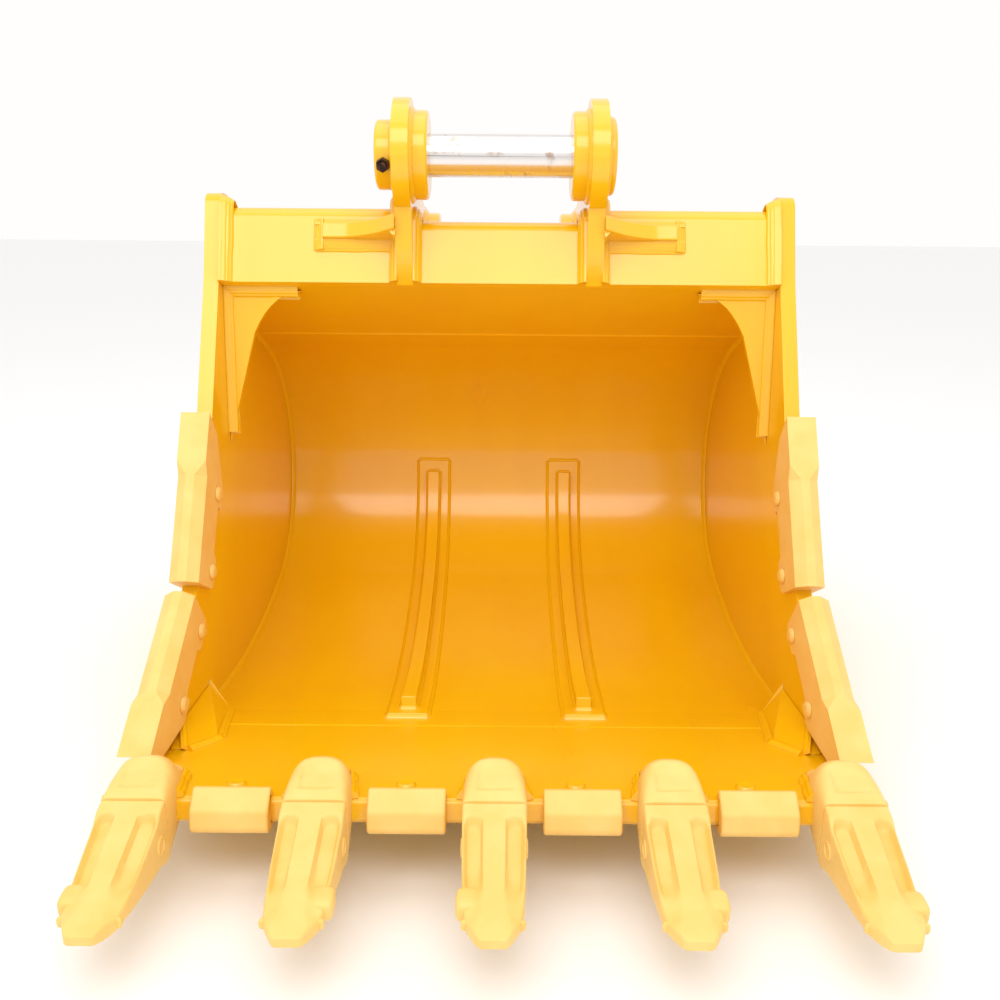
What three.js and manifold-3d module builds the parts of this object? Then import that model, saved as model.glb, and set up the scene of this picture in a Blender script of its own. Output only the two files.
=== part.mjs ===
// Heavy rock bucket for an excavator. Millimetres, +Z up, teeth towards -Y.
// The bucket lies on its heel, as its weight lets it. Its origin is under the middle of its bounding box.
// Side-view points are [y, z] pairs. Until the last lines, y and z are counted from the bucket's own
// datum: the top front corner of the cutting lip is at (lipFront.y, lipFront.z).

import * as THREE from "three";
import { ConvexGeometry } from "three/addons/geometries/ConvexGeometry.js";
import { mergeVertices } from "three/addons/utils/BufferGeometryUtils.js";
import Module from "manifold-3d";

const wasm = await Module();
wasm.setup();

// ---------------------------------------------------------------- driving dimensions

const GAP = 0.4; // between pieces that are welded or seated face to face
const RUNNING = 0.5; // radial play of a pin in its bore
const LIP_FIT = 2; // between the lip's front face and what wraps round it
const ROUND_SIDES = 32; // facets of a pin, a boss or a bore
const BOLT_SIDES = 12; // facets of a bolt shank and its hole
const ARC_STEP = 8; // degrees of one facet on the rolled shell

const OUTER_HALF_WIDTH = 752; // middle plane to the outside of a side bar at the mouth
const SIDE_TAPER = 0.0427; // each side closes in by this much per millimetre of depth behind the flare line
const FLARE_TURN = 20.6; // degrees from the mouth's plane to the flare line, about the lip's front edge
const END_ZONE = 0.7; // the share of the half width past which a piece follows the sides
const lipFront = { y: -627, z: 112 };

const shell = {
  plate: 20,
  floorFall: 1.9, // degrees that the lip and floor fall towards the heel
  floorLength: 552, // straight floor, from the lip's front edge
  floorRadius: 1600,
  floorEnd: 26.5, // heading, in degrees, where the floor's sweep meets the heel
  heelRadius: 370,
  backRadius: 400,
  roofHeading: 163, // heading of the straight roof, which runs forwards and up
  roofLength: 515,
  seamFromBack: 110, // from the end of the back's arc to the cross seam in the roof
};

const lip = { thickness: 50, depth: 440, nose: 8 };
const side = { plate: 20, bar: 38, proud: 12 };

const box = {
  plate: 18, // torsion tube plate
  faceHeight: 218,
  lowFaceHeight: 182, // between the ears
  lean: 10.9, // degrees that the face leans back
  bend: 34,
  coverFoot: 70, // how far behind the cross seam the cover lands on the shell
};

const ear = {
  plate: 40,
  innerHalfGap: 213,
  frontEye: 132,
  rearEye: 120,
  tail: 128, // heading on the back's arc where the ear's tail ends
};

const pins = {
  radius: 50,
  front: [-22.5, 301], // from the torsion tube's lower front corner
  rear: [468.5, 125],
  innerHalfGap: 171.5, // between the faces that hold the stick and the link
  hubRadius: 103.5,
  sleeveRadius: 70,
  retainerRadius: 81.5,
  retainerLength: 45,
  plainRadius: 91,
  plainLength: 22,
  endInset: 4,
  chamfer: 5,
};

const keeper = {
  radius: 10,
  head: 16,
  headHeight: 13,
  nut: 16.5,
  nutHeight: 18,
  fall: 24, // degrees that its head points up
  play: 1,
  tail: 12,
};

const earGusset = { length: 184, thickness: 36, drop: 76, outerReach: 26, innerReach: 104, end: 46 };
const mouthGusset = { thickness: 16, setBack: 44, width: 192, height: 385, knee: [72, 105] };
const cornerPlate = {
  length: 180,
  leg: 52,
  ahead: 185, // of the straight floor's end
  rise: 62,
  lead: 105,
};
const wearStrip = {
  offset: 211,
  width: 96,
  doubler: 10,
  barWidth: 36,
  barHeight: 30,
  ahead: 53,
  end: 92,
  inset: 38,
};
const heelStrap = {
  thickness: 16,
  width: 100,
  ahead: 40, // of the straight floor's end, as on the wear strips inside
  end: 80,
  crossFrom: 26,
  crossTo: 50,
  offsets: [-590, -295, 0, 295, 590],
};

const TEETH = 5;
const tooth = {
  pitch: 334,
  width: 118,
  height: 125,
  length: 287,
  fall: 12, // degrees that the tooth points down
  joint: [-47, -40], // middle of the joint, from the lip's top front corner
  tipWidth: 48,
  tipTop: 9,
  tipBottom: -12.5,
  kneeAt: 238,
  kneeWidth: 92,
  kneeTop: 15,
  kneeBottom: -29,
};
const nose = { width: 78, height: 84, length: 150, endWidth: 44, endHeight: 30, play: 1.5 };
const toothPin = { radius: 13, at: 44, rise: -4, inset: 3, play: 1 };
const adapter = {
  width: 122,
  strapWidth: 96,
  humpBack: 24, // from the lip's front edge back to the hump's crest
  humpHeight: 74,
  strapLength: 126,
  strapThickness: 22,
  lowerLength: 160,
  lowerThickness: 34,
};
const shroud = { width: 149, top: 20, front: 32, bottom: 12, back: 16, slope: 34, lowerBack: 40 };

const cutter = {
  length: 404,
  width: 69,
  nose: 66, // ahead of the side bar's edge
  edge: 20, // width of the narrow front
  chamferDepth: 18,
  wideLength: 118,
  transition: 34,
  flange: 74, // behind the side bar's edge
  bolts: [40, 230], // from the narrow end
  boltDepth: 38,
  notch: 13,
  endCut: 34, // how much shorter the wide end is at the bar than at its front
  upperStart: 6, // from the bar's knee to the narrow end
  lowerStart: 53,
};
const cutterBolt = { radius: 12, head: 19, headHeight: 9, nut: 20, nutHeight: 16, play: 0.8 };

// The side bar's front edge: its corners, each with the direction it is counted from the lip's front corner.
const barEdge = { foot: [151, -28], knee: [499, 293], waist: [655, 688] };
const barTop = { rise: 8, round: 34, back: 60 };
const barRear = { foot: 552, slope: 61.3 }; // where the bar's rear edge starts, and its slope in degrees

// ---------------------------------------------------------------- small helpers

const rad = THREE.MathUtils.degToRad;
const sum = (a, b) => [a[0] + b[0], a[1] + b[1]];
const along = (point, heading, length) => [
  point[0] + length * Math.cos(rad(heading)),
  point[1] + length * Math.sin(rad(heading)),
];

function solid(geometry) {
  const bare = geometry.clone();
  bare.deleteAttribute("normal");
  bare.deleteAttribute("uv");
  const merged = mergeVertices(bare, 1e-3);
  return new wasm.Manifold(
    new wasm.Mesh({
      numProp: 3,
      vertProperties: Float32Array.from(merged.attributes.position.array),
      triVerts: Uint32Array.from(merged.index.array),
    }),
  );
}

function surface(manifold) {
  const mesh = manifold.getMesh();
  const geometry = new THREE.BufferGeometry();
  geometry.setAttribute("position", new THREE.BufferAttribute(mesh.vertProperties, 3));
  geometry.setIndex(new THREE.BufferAttribute(mesh.triVerts, 1));
  return geometry;
}

// Corners are [u, v] or [u, v, radius]; a corner with a radius is rounded by an arc.
function outline(corners) {
  const points = [];
  corners.forEach(([u, v, radius = 0], i) => {
    const here = new THREE.Vector2(u, v);
    if (radius === 0) {
      points.push(here);
      return;
    }
    const before = new THREE.Vector2(...corners.at(i - 1).slice(0, 2)).sub(here).normalize();
    const after = new THREE.Vector2(...corners[(i + 1) % corners.length].slice(0, 2)).sub(here).normalize();
    const half = Math.acos(THREE.MathUtils.clamp(before.dot(after), -1, 1)) / 2;
    const middle = before.clone().add(after).normalize();
    const centre = here.clone().addScaledVector(middle, radius / Math.sin(half));
    const first = here.clone().addScaledVector(before, radius / Math.tan(half)).sub(centre);
    const sweep = Math.PI - 2 * half;
    const turn = Math.sign(before.cross(after)) > 0 ? -sweep : sweep;
    const steps = Math.max(2, Math.ceil(THREE.MathUtils.radToDeg(sweep) / 15));
    for (let k = 0; k <= steps; k += 1) {
      points.push(first.clone().rotateAround(new THREE.Vector2(), (turn * k) / steps).add(centre));
    }
  });
  return points;
}

function prism(points, depth, holes = []) {
  const shape = new THREE.Shape(points);
  holes.forEach(([u, v, radius, sides = BOLT_SIDES]) => {
    const ring = [];
    for (let k = 0; k < sides; k += 1) {
      const angle = (-2 * Math.PI * k) / sides;
      ring.push(new THREE.Vector2(u + radius * Math.cos(angle), v + radius * Math.sin(angle)));
    }
    shape.holes.push(new THREE.Path(ring));
  });
  return new THREE.ExtrudeGeometry(shape, { depth, bevelEnabled: false });
}

const axes = (x, y, z) => new THREE.Matrix4().makeBasis(
  new THREE.Vector3(...x),
  new THREE.Vector3(...y),
  new THREE.Vector3(...z),
);
const SIDE_VIEW = axes([0, 1, 0], [0, 0, 1], [1, 0, 0]); // outline in y and z, thickness along x
const FRONT_VIEW = axes([1, 0, 0], [0, 0, 1], [0, -1, 0]); // outline in x and z, thickness along -y

// An outline in y and z, from x = low to x = high.
const acrossX = (points, low, high, holes) => prism(points, high - low, holes)
  .applyMatrix4(SIDE_VIEW)
  .translate(low, 0, 0);

// A turned piece about the x axis: rings are [x, radius] from one end to the other.
function turned(rings, sides = ROUND_SIDES) {
  const profile = rings.map(([x, radius]) => new THREE.Vector2(radius, x));
  return new THREE.LatheGeometry(profile, sides).rotateZ(-Math.PI / 2);
}

const rod = (low, high, radius, sides) => turned([[low, 0], [low, radius], [high, radius], [high, 0]], sides);

// Where two lines cross, each given by a point and a heading.
function meet(a, headingA, b, headingB) {
  const [ay, az] = [Math.cos(rad(headingA)), Math.sin(rad(headingA))];
  const [by, bz] = [Math.cos(rad(headingB)), Math.sin(rad(headingB))];
  const t = ((b[0] - a[0]) * bz - (b[1] - a[1]) * by) / (ay * bz - az * by);
  return [a[0] + t * ay, a[1] + t * az];
}

// A prism with a hexagon or round section along a direction in the y-z plane.
function crossRod(radius, low, high, heading, sides) {
  return new THREE.CylinderGeometry(radius, radius, high - low, sides)
    .translate(0, (high + low) / 2, 0)
    .rotateX(rad(heading));
}

const hull = (points) => new ConvexGeometry(points.map((p) => new THREE.Vector3(...p)));

function mirrored(geometry) {
  const copy = mergeVertices(geometry.clone()).scale(-1, 1, 1);
  const order = Array.from(copy.index.array);
  for (let i = 0; i < order.length; i += 3) {
    [order[i + 1], order[i + 2]] = [order[i + 2], order[i + 1]];
  }
  copy.setIndex(order);
  return copy;
}

// ---------------------------------------------------------------- the shell's side view

// Each sample is [y, z, heading]; the heading turns from the floor, round the back, to the roof.
function shellLine() {
  let point = [lipFront.y, lipFront.z];
  const samples = [[...point, -shell.floorFall]];
  const straight = (heading, length) => {
    point = along(point, heading, length);
    samples.push([...point, heading]);
  };
  const arc = (from, to, radius) => {
    const start = point;
    const steps = Math.ceil((to - from) / (radius > 1000 ? ARC_STEP / 2 : ARC_STEP));
    for (let k = 1; k <= steps; k += 1) {
      const heading = from + ((to - from) * k) / steps;
      point = [
        start[0] + radius * (Math.sin(rad(heading)) - Math.sin(rad(from))),
        start[1] + radius * (Math.cos(rad(from)) - Math.cos(rad(heading))),
      ];
      samples.push([...point, heading]);
    }
  };
  straight(-shell.floorFall, shell.floorLength);
  arc(-shell.floorFall, shell.floorEnd, shell.floorRadius);
  arc(shell.floorEnd, 90, shell.heelRadius);
  arc(90, shell.roofHeading, shell.backRadius);
  straight(shell.roofHeading, shell.roofLength);
  return samples;
}

const line = shellLine();
const offset = ([y, z, heading], out) => [y + out * Math.sin(rad(heading)), z - out * Math.cos(rad(heading))];
const boxFoot = line.at(-1).slice(0, 2); // torsion tube's lower front corner
const backEnd = line.at(-2);
const seam = [...along(backEnd, shell.roofHeading, shell.seamFromBack), shell.roofHeading];
const lipRear = [...along([lipFront.y, lipFront.z], -shell.floorFall, lip.depth), -shell.floorFall];
const wrapperLine = [
  lipRear,
  ...line.filter(([y, , heading], i) => i > 0 && i < line.length - 1 && (heading > 0 || y > lipRear[0])),
  seam,
];

// Depth behind the flare line, which leans forwards from the plane of the mouth about the lip's front edge.
const flare = new THREE.Vector2(boxFoot[0] - lipFront.y, boxFoot[1] - lipFront.z)
  .normalize()
  .rotateAround(new THREE.Vector2(), rad(FLARE_TURN));
const depthAt = (y, z) => (y - lipFront.y) * flare.y - (z - lipFront.z) * flare.x;
const innerHalf = OUTER_HALF_WIDTH - side.plate;
const barInnerHalf = OUTER_HALF_WIDTH - side.bar;

// Pieces that reach the sides are drawn square, and then their ends are closed in with depth.
function closedIn(geometry) {
  const position = geometry.attributes.position;
  for (let i = 0; i < position.count; i += 1) {
    const x = position.getX(i);
    const depth = depthAt(position.getY(i), position.getZ(i));
    if (Math.abs(x) > END_ZONE * innerHalf) position.setX(i, x - Math.sign(x) * SIDE_TAPER * depth);
  }
  return geometry;
}

// ---------------------------------------------------------------- torsion tube and ears, in side view

const degrees = THREE.MathUtils.radToDeg;
const headingOf = (from, to) => degrees(Math.atan2(to[1] - from[1], to[0] - from[0]));
const faceHeading = 90 - box.lean;
// The face plate covers the roof's front edge.
const roofStop = box.plate / Math.sin(rad(shell.roofHeading - faceHeading)) + GAP;
const coverLand = offset(
  [...along(backEnd, shell.roofHeading, shell.seamFromBack - box.coverFoot), shell.roofHeading],
  shell.plate + GAP,
);
const boxTop = (height) => along(boxFoot, faceHeading, height);

// The bent plate of the torsion tube: up the face, round the bend, and down the cover to the shell.
function boxOutline(height) {
  const top = boxTop(height);
  const cover = headingOf(top, coverLand);
  const innerFace = along(boxFoot, faceHeading - 90, box.plate);
  const innerCover = along(top, cover - 90, box.plate);
  return outline([
    boxFoot,
    meet(boxFoot, shell.roofHeading, innerFace, faceHeading),
    [...meet(innerFace, faceHeading, innerCover, cover), box.bend - box.plate],
    meet(innerCover, cover, coverLand, shell.roofHeading),
    coverLand,
    [...top, box.bend],
  ]);
}

// Everything that the ears and their gussets sit on, filled in, with a weld gap all round.
function seatOutline(height) {
  const top = boxTop(height);
  const back = line.slice(0, -1).filter(([, , heading]) => heading > 60);
  return outline([
    [boxFoot[0] - GAP, boxFoot[1] - 60],
    ...back.map((sample) => offset(sample, shell.plate + GAP)),
    [coverLand[0] + GAP, coverLand[1] + GAP],
    [top[0] - GAP, top[1] + GAP, box.bend],
    [boxFoot[0] - GAP, boxFoot[1]],
  ]);
}

const frontPin = sum(boxFoot, pins.front);
const rearPin = sum(boxFoot, pins.rear);
const earOuter = ear.innerHalfGap + ear.plate;

// ---------------------------------------------------------------- meshes

const bucket = new THREE.Group();

const FINISH = {
  paint: { color: 0xf2ab1d, roughness: 0.35, metalness: 0 },
  cast: { color: 0xf5bb45, roughness: 0.55, metalness: 0 },
  steel: { color: 0xc8c2bc, roughness: 0.3, metalness: 1 },
  bolt: { color: 0x3a2018, roughness: 0.6, metalness: 0.6 },
};

function add(name, geometry, finish, parent = bucket) {
  geometry.computeVertexNormals();
  const mesh = new THREE.Mesh(geometry, new THREE.MeshStandardMaterial(FINISH[finish]));
  mesh.name = name;
  parent.add(mesh);
  return mesh;
}

const SIDES = [["left", -1], ["right", 1]];
const handed = (geometry, sign) => (sign < 0 ? mirrored(geometry) : geometry);

// ---------------------------------------------------------------- shell, lip, roof and torsion tube

const bandOutline = (samples, inner, outer) => [
  ...samples.map((sample) => offset(sample, inner)).reverse(),
  ...samples.map((sample) => offset(sample, outer)),
].map(([y, z]) => new THREE.Vector2(y, z));

const floorAt = (y) => lipFront.z - (y - lipFront.y) * Math.tan(rad(shell.floorFall));
const under = (y) => floorAt(y) - lip.thickness / Math.cos(rad(shell.floorFall)); // the lip's lower face

// The bar's side view. Its rear edge is moved back by grow where a neighbour is cut clear of it.
function barOutline(grow = 0) {
  const from = ([dy, dz]) => [lipFront.y + dy, lipFront.z + dz];
  const lift = 2 * GAP - grow;
  const knee = from(barEdge.knee);
  const rearFoot = [lipFront.y + barRear.foot + grow, floorAt(lipFront.y + barRear.foot)];
  const top = boxTop(box.faceHeight + barTop.rise);
  const shoulder = [top[0] + barTop.back, top[1]];
  const cover = headingOf(boxTop(box.faceHeight), coverLand);
  const floor = [lipFront.y, lipFront.z + lift];
  return outline([
    meet(knee, headingOf(knee, from(barEdge.foot)), floor, -shell.floorFall),
    [rearFoot[0], rearFoot[1] + lift],
    meet(rearFoot, barRear.slope, shoulder, cover),
    [...shoulder, barTop.round],
    [...top, barTop.round],
    [...boxFoot, 300],
    [...from(barEdge.waist), 300],
    knee,
  ]);
}

function clearOfBars(geometry) {
  const low = barInnerHalf - GAP;
  const bar = acrossX(barOutline(2 * GAP), low, OUTER_HALF_WIDTH + side.bar);
  return surface(solid(geometry).subtract(solid(bar)).subtract(solid(mirrored(bar))));
}

function makeShell() {
  const half = innerHalf - GAP;
  const wrapper = wrapperLine.map((sample) => [...sample]);
  wrapper[0][0] += GAP;
  const rolled = acrossX(bandOutline(wrapper, 0, shell.plate), -half, half);
  add("shell_wrapper", closedIn(clearOfBars(rolled)), "paint");

  const roofStart = [...along(seam, shell.roofHeading, GAP), shell.roofHeading];
  const roofEnd = [...along(boxFoot, shell.roofHeading, -roofStop), shell.roofHeading];
  const roof = acrossX(bandOutline([roofStart, roofEnd], 0, shell.plate), -half, half);
  add("roof_plate", closedIn(clearOfBars(roof)), "paint");

  const front = [lipFront.y, lipFront.z, -shell.floorFall];
  const behindFront = (length) => [...along(front, -shell.floorFall, length), -shell.floorFall];
  const lipPoints = outline([
    offset(front, lip.nose),
    offset(front, lip.thickness - lip.nose),
    offset(behindFront(lip.nose), lip.thickness),
    offset(behindFront(lip.depth - 2 * shell.plate), lip.thickness),
    offset(lipRear, shell.plate),
    offset(lipRear, 0),
    offset(behindFront(lip.nose), 0),
  ]);
  add("lip_plate", closedIn(acrossX(lipPoints, -OUTER_HALF_WIDTH, OUTER_HALF_WIDTH)), "paint");

  const tall = boxOutline(box.faceHeight);
  const step = earOuter + 2 * GAP;
  const middle = solid(acrossX(boxOutline(box.lowFaceHeight), -step, step));
  const wing = acrossX(tall, step, half);
  const tube = middle.add(solid(wing)).add(solid(mirrored(wing)));
  add("torsion_tube", closedIn(clearOfBars(surface(tube))), "paint");
}

// ---------------------------------------------------------------- sides, with their cutters

const bend = (corner) => [lipFront.y + corner[0], lipFront.z + corner[1]];

// A cutter stands on the bar's edge: its narrow end is at start, and it runs towards the wide end.
const cutterSeats = [
  { name: "upper", from: bend(barEdge.knee), to: bend(barEdge.waist), start: cutter.upperStart, turn: 1 },
  { name: "lower", from: bend(barEdge.knee), to: bend(barEdge.foot), start: cutter.lowerStart, turn: -1 },
].map((seat) => {
  const heading = headingOf(seat.from, seat.to);
  const origin = along(seat.from, heading, seat.start);
  return { ...seat, heading, inward: heading - 90 * seat.turn, origin };
});

const boltPoints = cutterSeats.flatMap((seat) => cutter.bolts.map((at, i) => ({
  name: `${seat.name}_${i + 1}`,
  point: along(along(seat.origin, seat.heading, at), seat.inward, cutter.boltDepth),
})));

// A group whose content is drawn square and then leaned in, about the flare line on the bar's outside.
function sideFrame(sign) {
  const pivot = new THREE.Vector3(sign * OUTER_HALF_WIDTH, lipFront.y, lipFront.z);
  const frame = new THREE.Group();
  frame.position.copy(pivot);
  frame.quaternion.setFromAxisAngle(new THREE.Vector3(0, flare.x, flare.y), sign * Math.atan(SIDE_TAPER));
  const content = new THREE.Group();
  content.position.copy(pivot).negate();
  frame.add(content);
  bucket.add(frame);
  return content;
}

function makeCutter() {
  const half = cutter.width / 2;
  const edge = cutter.edge / 2;
  const slot = side.bar / 2 + GAP;
  const back = [[half, -GAP], [-half, -GAP]];
  const front = [[-half, -cutter.nose], [half, -cutter.nose]];
  const full = [...back, ...front];
  const narrow = [
    [half, -GAP], [-half, -GAP], [-half, cutter.chamferDepth - cutter.nose],
    [-edge, -cutter.nose], [edge, -cutter.nose], [half, cutter.chamferDepth - cutter.nose],
  ];
  const wideFrom = cutter.length - cutter.wideLength;
  const shortEnd = cutter.length - cutter.endCut;
  const at = (section, z) => section.map(([x, y]) => [x, y, z]);
  const nosePiece = solid(hull([...at(narrow, 0), ...at(narrow, wideFrom)]))
    .add(solid(hull([...at(narrow, wideFrom - cutter.transition), ...at(full, wideFrom)])))
    .add(solid(hull([...at(full, wideFrom), ...at(front, cutter.length), ...at(back, shortEnd)])));
  const [first, second] = cutter.bolts;
  const depth = cutter.flange;
  const waist = cutter.boltDepth + cutter.notch * 0.7;
  const flange = outline([
    [-2, 0], [depth - 12, 0, 20], [depth - 6, first + 34, 22], [waist, first + 44, 14],
    [waist, second - 44, 8], [depth, second - 30, 14], [depth, second + 26, 30],
    [0.4 * depth, wideFrom + 40, 30], [0, shortEnd], [-2, shortEnd],
  ]);
  const holes = cutter.bolts.map((z) => [cutter.boltDepth, z, cutterBolt.radius + cutterBolt.play]);
  const blade = solid(acrossX(flange, slot, half, holes));
  const otherBlade = solid(acrossX(flange, -half, -slot, holes));
  const notch = rod(-half - 1, half + 1, cutter.notch, BOLT_SIDES)
    .translate(0, waist + cutter.notch, second - 42);
  return surface(nosePiece.add(blade).add(otherBlade).subtract(solid(notch)));
}

function makeCutterBolt() {
  const half = cutter.width / 2 + GAP;
  const { radius, head, headHeight, nut, nutHeight } = cutterBolt;
  const inner = -half - headHeight;
  const shank = turned([
    [inner, 0], [inner, head * 0.62], [inner + headHeight * 0.5, head * 0.95], [-half, head], [-half, radius],
    [half + nutHeight + 6, radius], [half + nutHeight + 6, 0],
  ], BOLT_SIDES);
  return surface(solid(shank).add(solid(rod(half, half + nutHeight, nut, 6))));
}

function makeSides() {
  const proud = shell.plate + side.proud;
  const cover = headingOf(boxTop(box.faceHeight), coverLand);
  const coverEdge = along(coverLand, cover + 90, side.proud);
  const wrapperBehindLip = wrapperLine.slice(0, -1);
  const behindLip = lipRear[0] + 2;
  const plateOutline = outline([
    [behindLip, floorAt(lipRear[0])],
    ...wrapperBehindLip.map((sample, i) => (i ? offset(sample, proud) : [behindLip, lipRear[1] - proud])),
    coverEdge,
    along(coverEdge, cover, -0.6 * Math.hypot(coverLand[0] - boxTop(0)[0], coverLand[1] - boxTop(0)[1])),
  ]);
  const bolts = boltPoints.map(({ point }) => [...point, cutterBolt.radius + cutterBolt.play]);
  const casting = makeCutter();
  const bolt = makeCutterBolt();
  SIDES.forEach(([hand, sign]) => {
    const frame = sideFrame(sign);
    const bar = acrossX(barOutline(), barInnerHalf, OUTER_HALF_WIDTH, bolts);
    add(`side_bar_${hand}`, handed(bar, sign), "paint", frame);
    const clear = solid(acrossX(barOutline(2 * GAP), barInnerHalf - GAP, OUTER_HALF_WIDTH + GAP));
    const plate = surface(solid(acrossX(plateOutline, innerHalf, OUTER_HALF_WIDTH)).subtract(clear));
    add(`side_plate_${hand}`, handed(plate, sign), "paint", frame);

    const middle = sign * (OUTER_HALF_WIDTH - side.bar / 2);
    cutterSeats.forEach((seat) => {
      const mesh = add(`side_cutter_${seat.name}_${hand}`, casting.clone(), "cast", frame);
      const into = new THREE.Vector3(0, Math.cos(rad(seat.inward)), Math.sin(rad(seat.inward)));
      const up = new THREE.Vector3(0, Math.cos(rad(seat.heading)), Math.sin(rad(seat.heading)));
      const basis = new THREE.Matrix4().makeBasis(new THREE.Vector3(seat.turn, 0, 0), into, up);
      mesh.quaternion.setFromRotationMatrix(basis);
      mesh.position.set(middle, ...seat.origin);
    });
    boltPoints.forEach(({ name, point }) => {
      add(`cutter_bolt_${name}_${hand}`, handed(bolt, sign), "bolt", frame).position.set(middle, ...point);
    });
  });
}

// ---------------------------------------------------------------- gussets and corner plates

function makeGussets() {
  const roofZ = (y) => boxFoot[1] - (y - boxFoot[0]) * Math.tan(rad(180 - shell.roofHeading));
  const back = boxFoot[0] + mouthGusset.setBack + mouthGusset.thickness;
  const top = roofZ(back) - GAP;
  const outer = barInnerHalf - GAP;
  const inner = outer - mouthGusset.width;
  const curve = new THREE.QuadraticBezierCurve(
    new THREE.Vector2(inner, top - 3),
    new THREE.Vector2(inner + 0.38 * mouthGusset.width, top - 3),
    new THREE.Vector2(outer - mouthGusset.knee[0], top - mouthGusset.knee[1]),
  );
  const mouthOutline = [
    new THREE.Vector2(outer, top),
    new THREE.Vector2(inner, top),
    ...curve.getPoints(7),
    new THREE.Vector2(outer, top - mouthGusset.height),
  ];
  const mouthPlate = prism(mouthOutline, mouthGusset.thickness)
    .applyMatrix4(FRONT_VIEW)
    .translate(0, back, 0);

  const face = boxTop(box.faceHeight);
  const start = earOuter + GAP;
  const end = earOuter + earGusset.length;
  const sweep = new THREE.QuadraticBezierCurve(
    new THREE.Vector2(end - earGusset.end, -earGusset.outerReach),
    new THREE.Vector2(start + 0.34 * earGusset.length, -earGusset.outerReach - 10),
    new THREE.Vector2(start, -earGusset.innerReach),
  );
  const plan = [
    new THREE.Vector2(start, 40),
    new THREE.Vector2(end, 40),
    new THREE.Vector2(end, -earGusset.outerReach),
    ...sweep.getPoints(8),
  ];
  const seat = solid(acrossX(seatOutline(box.faceHeight), start - 50, end + 50));
  const earPiece = prism(plan, earGusset.thickness)
    .translate(0, 0, -earGusset.drop - earGusset.thickness)
    .rotateX(-rad(box.lean))
    .translate(0, ...face);
  const earPlate = surface(solid(earPiece).subtract(seat));

  const corner = barInnerHalf - GAP;
  const { ahead, length, leg, rise, lead } = cornerPlate;
  const y0 = line[1][0] - ahead;
  const low = (y) => floorAt(y) + GAP;
  const wedge = hull([
    [corner, y0 + length, low(y0) + rise],
    [corner, y0, low(y0) + rise * 0.66],
    [corner - leg, y0 + length, low(y0 + length)],
    [corner - leg - lead * 0.3, y0 - lead * 0.3, low(y0 - lead)],
    [corner - leg * 0.7, y0 - lead, low(y0 - lead)],
    [corner, y0 - lead, low(y0 - lead)],
    [corner, y0 + length, low(y0 + length)],
  ]);
  SIDES.forEach(([hand, sign]) => {
    add(`mouth_gusset_${hand}`, closedIn(handed(mouthPlate.clone(), sign)), "paint");
    add(`ear_gusset_${hand}`, handed(earPlate.clone(), sign), "paint");
    add(`lip_corner_plate_${hand}`, closedIn(handed(wedge.clone(), sign)), "paint");
  });
}

// ---------------------------------------------------------------- ears, bosses and pins

function makeEars() {
  const low = earOuter - ear.plate;
  const onEye = (pin, radius, angle) => along(pin, angle, radius);
  const tailSample = line.find(([, , heading]) => heading >= ear.tail);
  const tail = offset(tailSample, shell.plate);
  const faceTop = boxTop(box.faceHeight);
  const plateOutline = outline([
    [boxFoot[0] - 3, boxFoot[1] - 4],
    [boxFoot[0] + 200, boxFoot[1] - 120],
    sum(tail, [-40, -30]),
    sum(tail, [6, 4]),
    [rearPin[0] + 1.02 * ear.rearEye, rearPin[1] - 0.55 * ear.rearEye, 160],
    onEye(rearPin, ear.rearEye, 0),
    onEye(rearPin, ear.rearEye, 95),
    [...sum(rearPin, [-110, 108]), 130],
    onEye(frontPin, ear.frontEye, 40),
    onEye(frontPin, ear.frontEye, 190),
    [faceTop[0] - 108, faceTop[1] + 4, 130],
    [boxFoot[0] - 40, boxFoot[1] + 62, 160],
  ]);
  const bore = pins.sleeveRadius + GAP;
  const plate = solid(acrossX(plateOutline, low, earOuter))
    .add(solid(rod(low, earOuter, ear.frontEye, ROUND_SIDES).translate(0, ...frontPin)))
    .add(solid(rod(low, earOuter, ear.rearEye, ROUND_SIDES).translate(0, ...rearPin)))
    .subtract(solid(acrossX(seatOutline(box.lowFaceHeight), low - 1, earOuter + 1)))
    .subtract(solid(rod(low - 1, earOuter + 1, bore, ROUND_SIDES).translate(0, ...frontPin)))
    .subtract(solid(rod(low - 1, earOuter + 1, bore, ROUND_SIDES).translate(0, ...rearPin)));
  SIDES.forEach(([hand, sign]) => add(`ear_${hand}`, handed(surface(plate), sign), "paint"));
}

// A boss: the hub inside the ear, the sleeve through it and the collar outside, with one bore.
function makeBoss(sign, collarRadius, collarLength) {
  const inner = pins.innerHalfGap;
  const bore = pins.radius + RUNNING;
  const hubEnd = ear.innerHalfGap - GAP;
  const collar = earOuter + GAP;
  const end = earOuter + collarLength;
  const c = pins.chamfer;
  const rings = [
    [inner, bore], [inner, pins.hubRadius - c], [inner + c, pins.hubRadius], [hubEnd, pins.hubRadius],
    [hubEnd, pins.sleeveRadius], [collar, pins.sleeveRadius], [collar, collarRadius],
    [end - c, collarRadius], [end, collarRadius - c], [end, bore], [inner, bore],
  ];
  return handed(turned(rings), sign);
}

const keeperX = -(earOuter + pins.retainerLength / 2);

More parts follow.
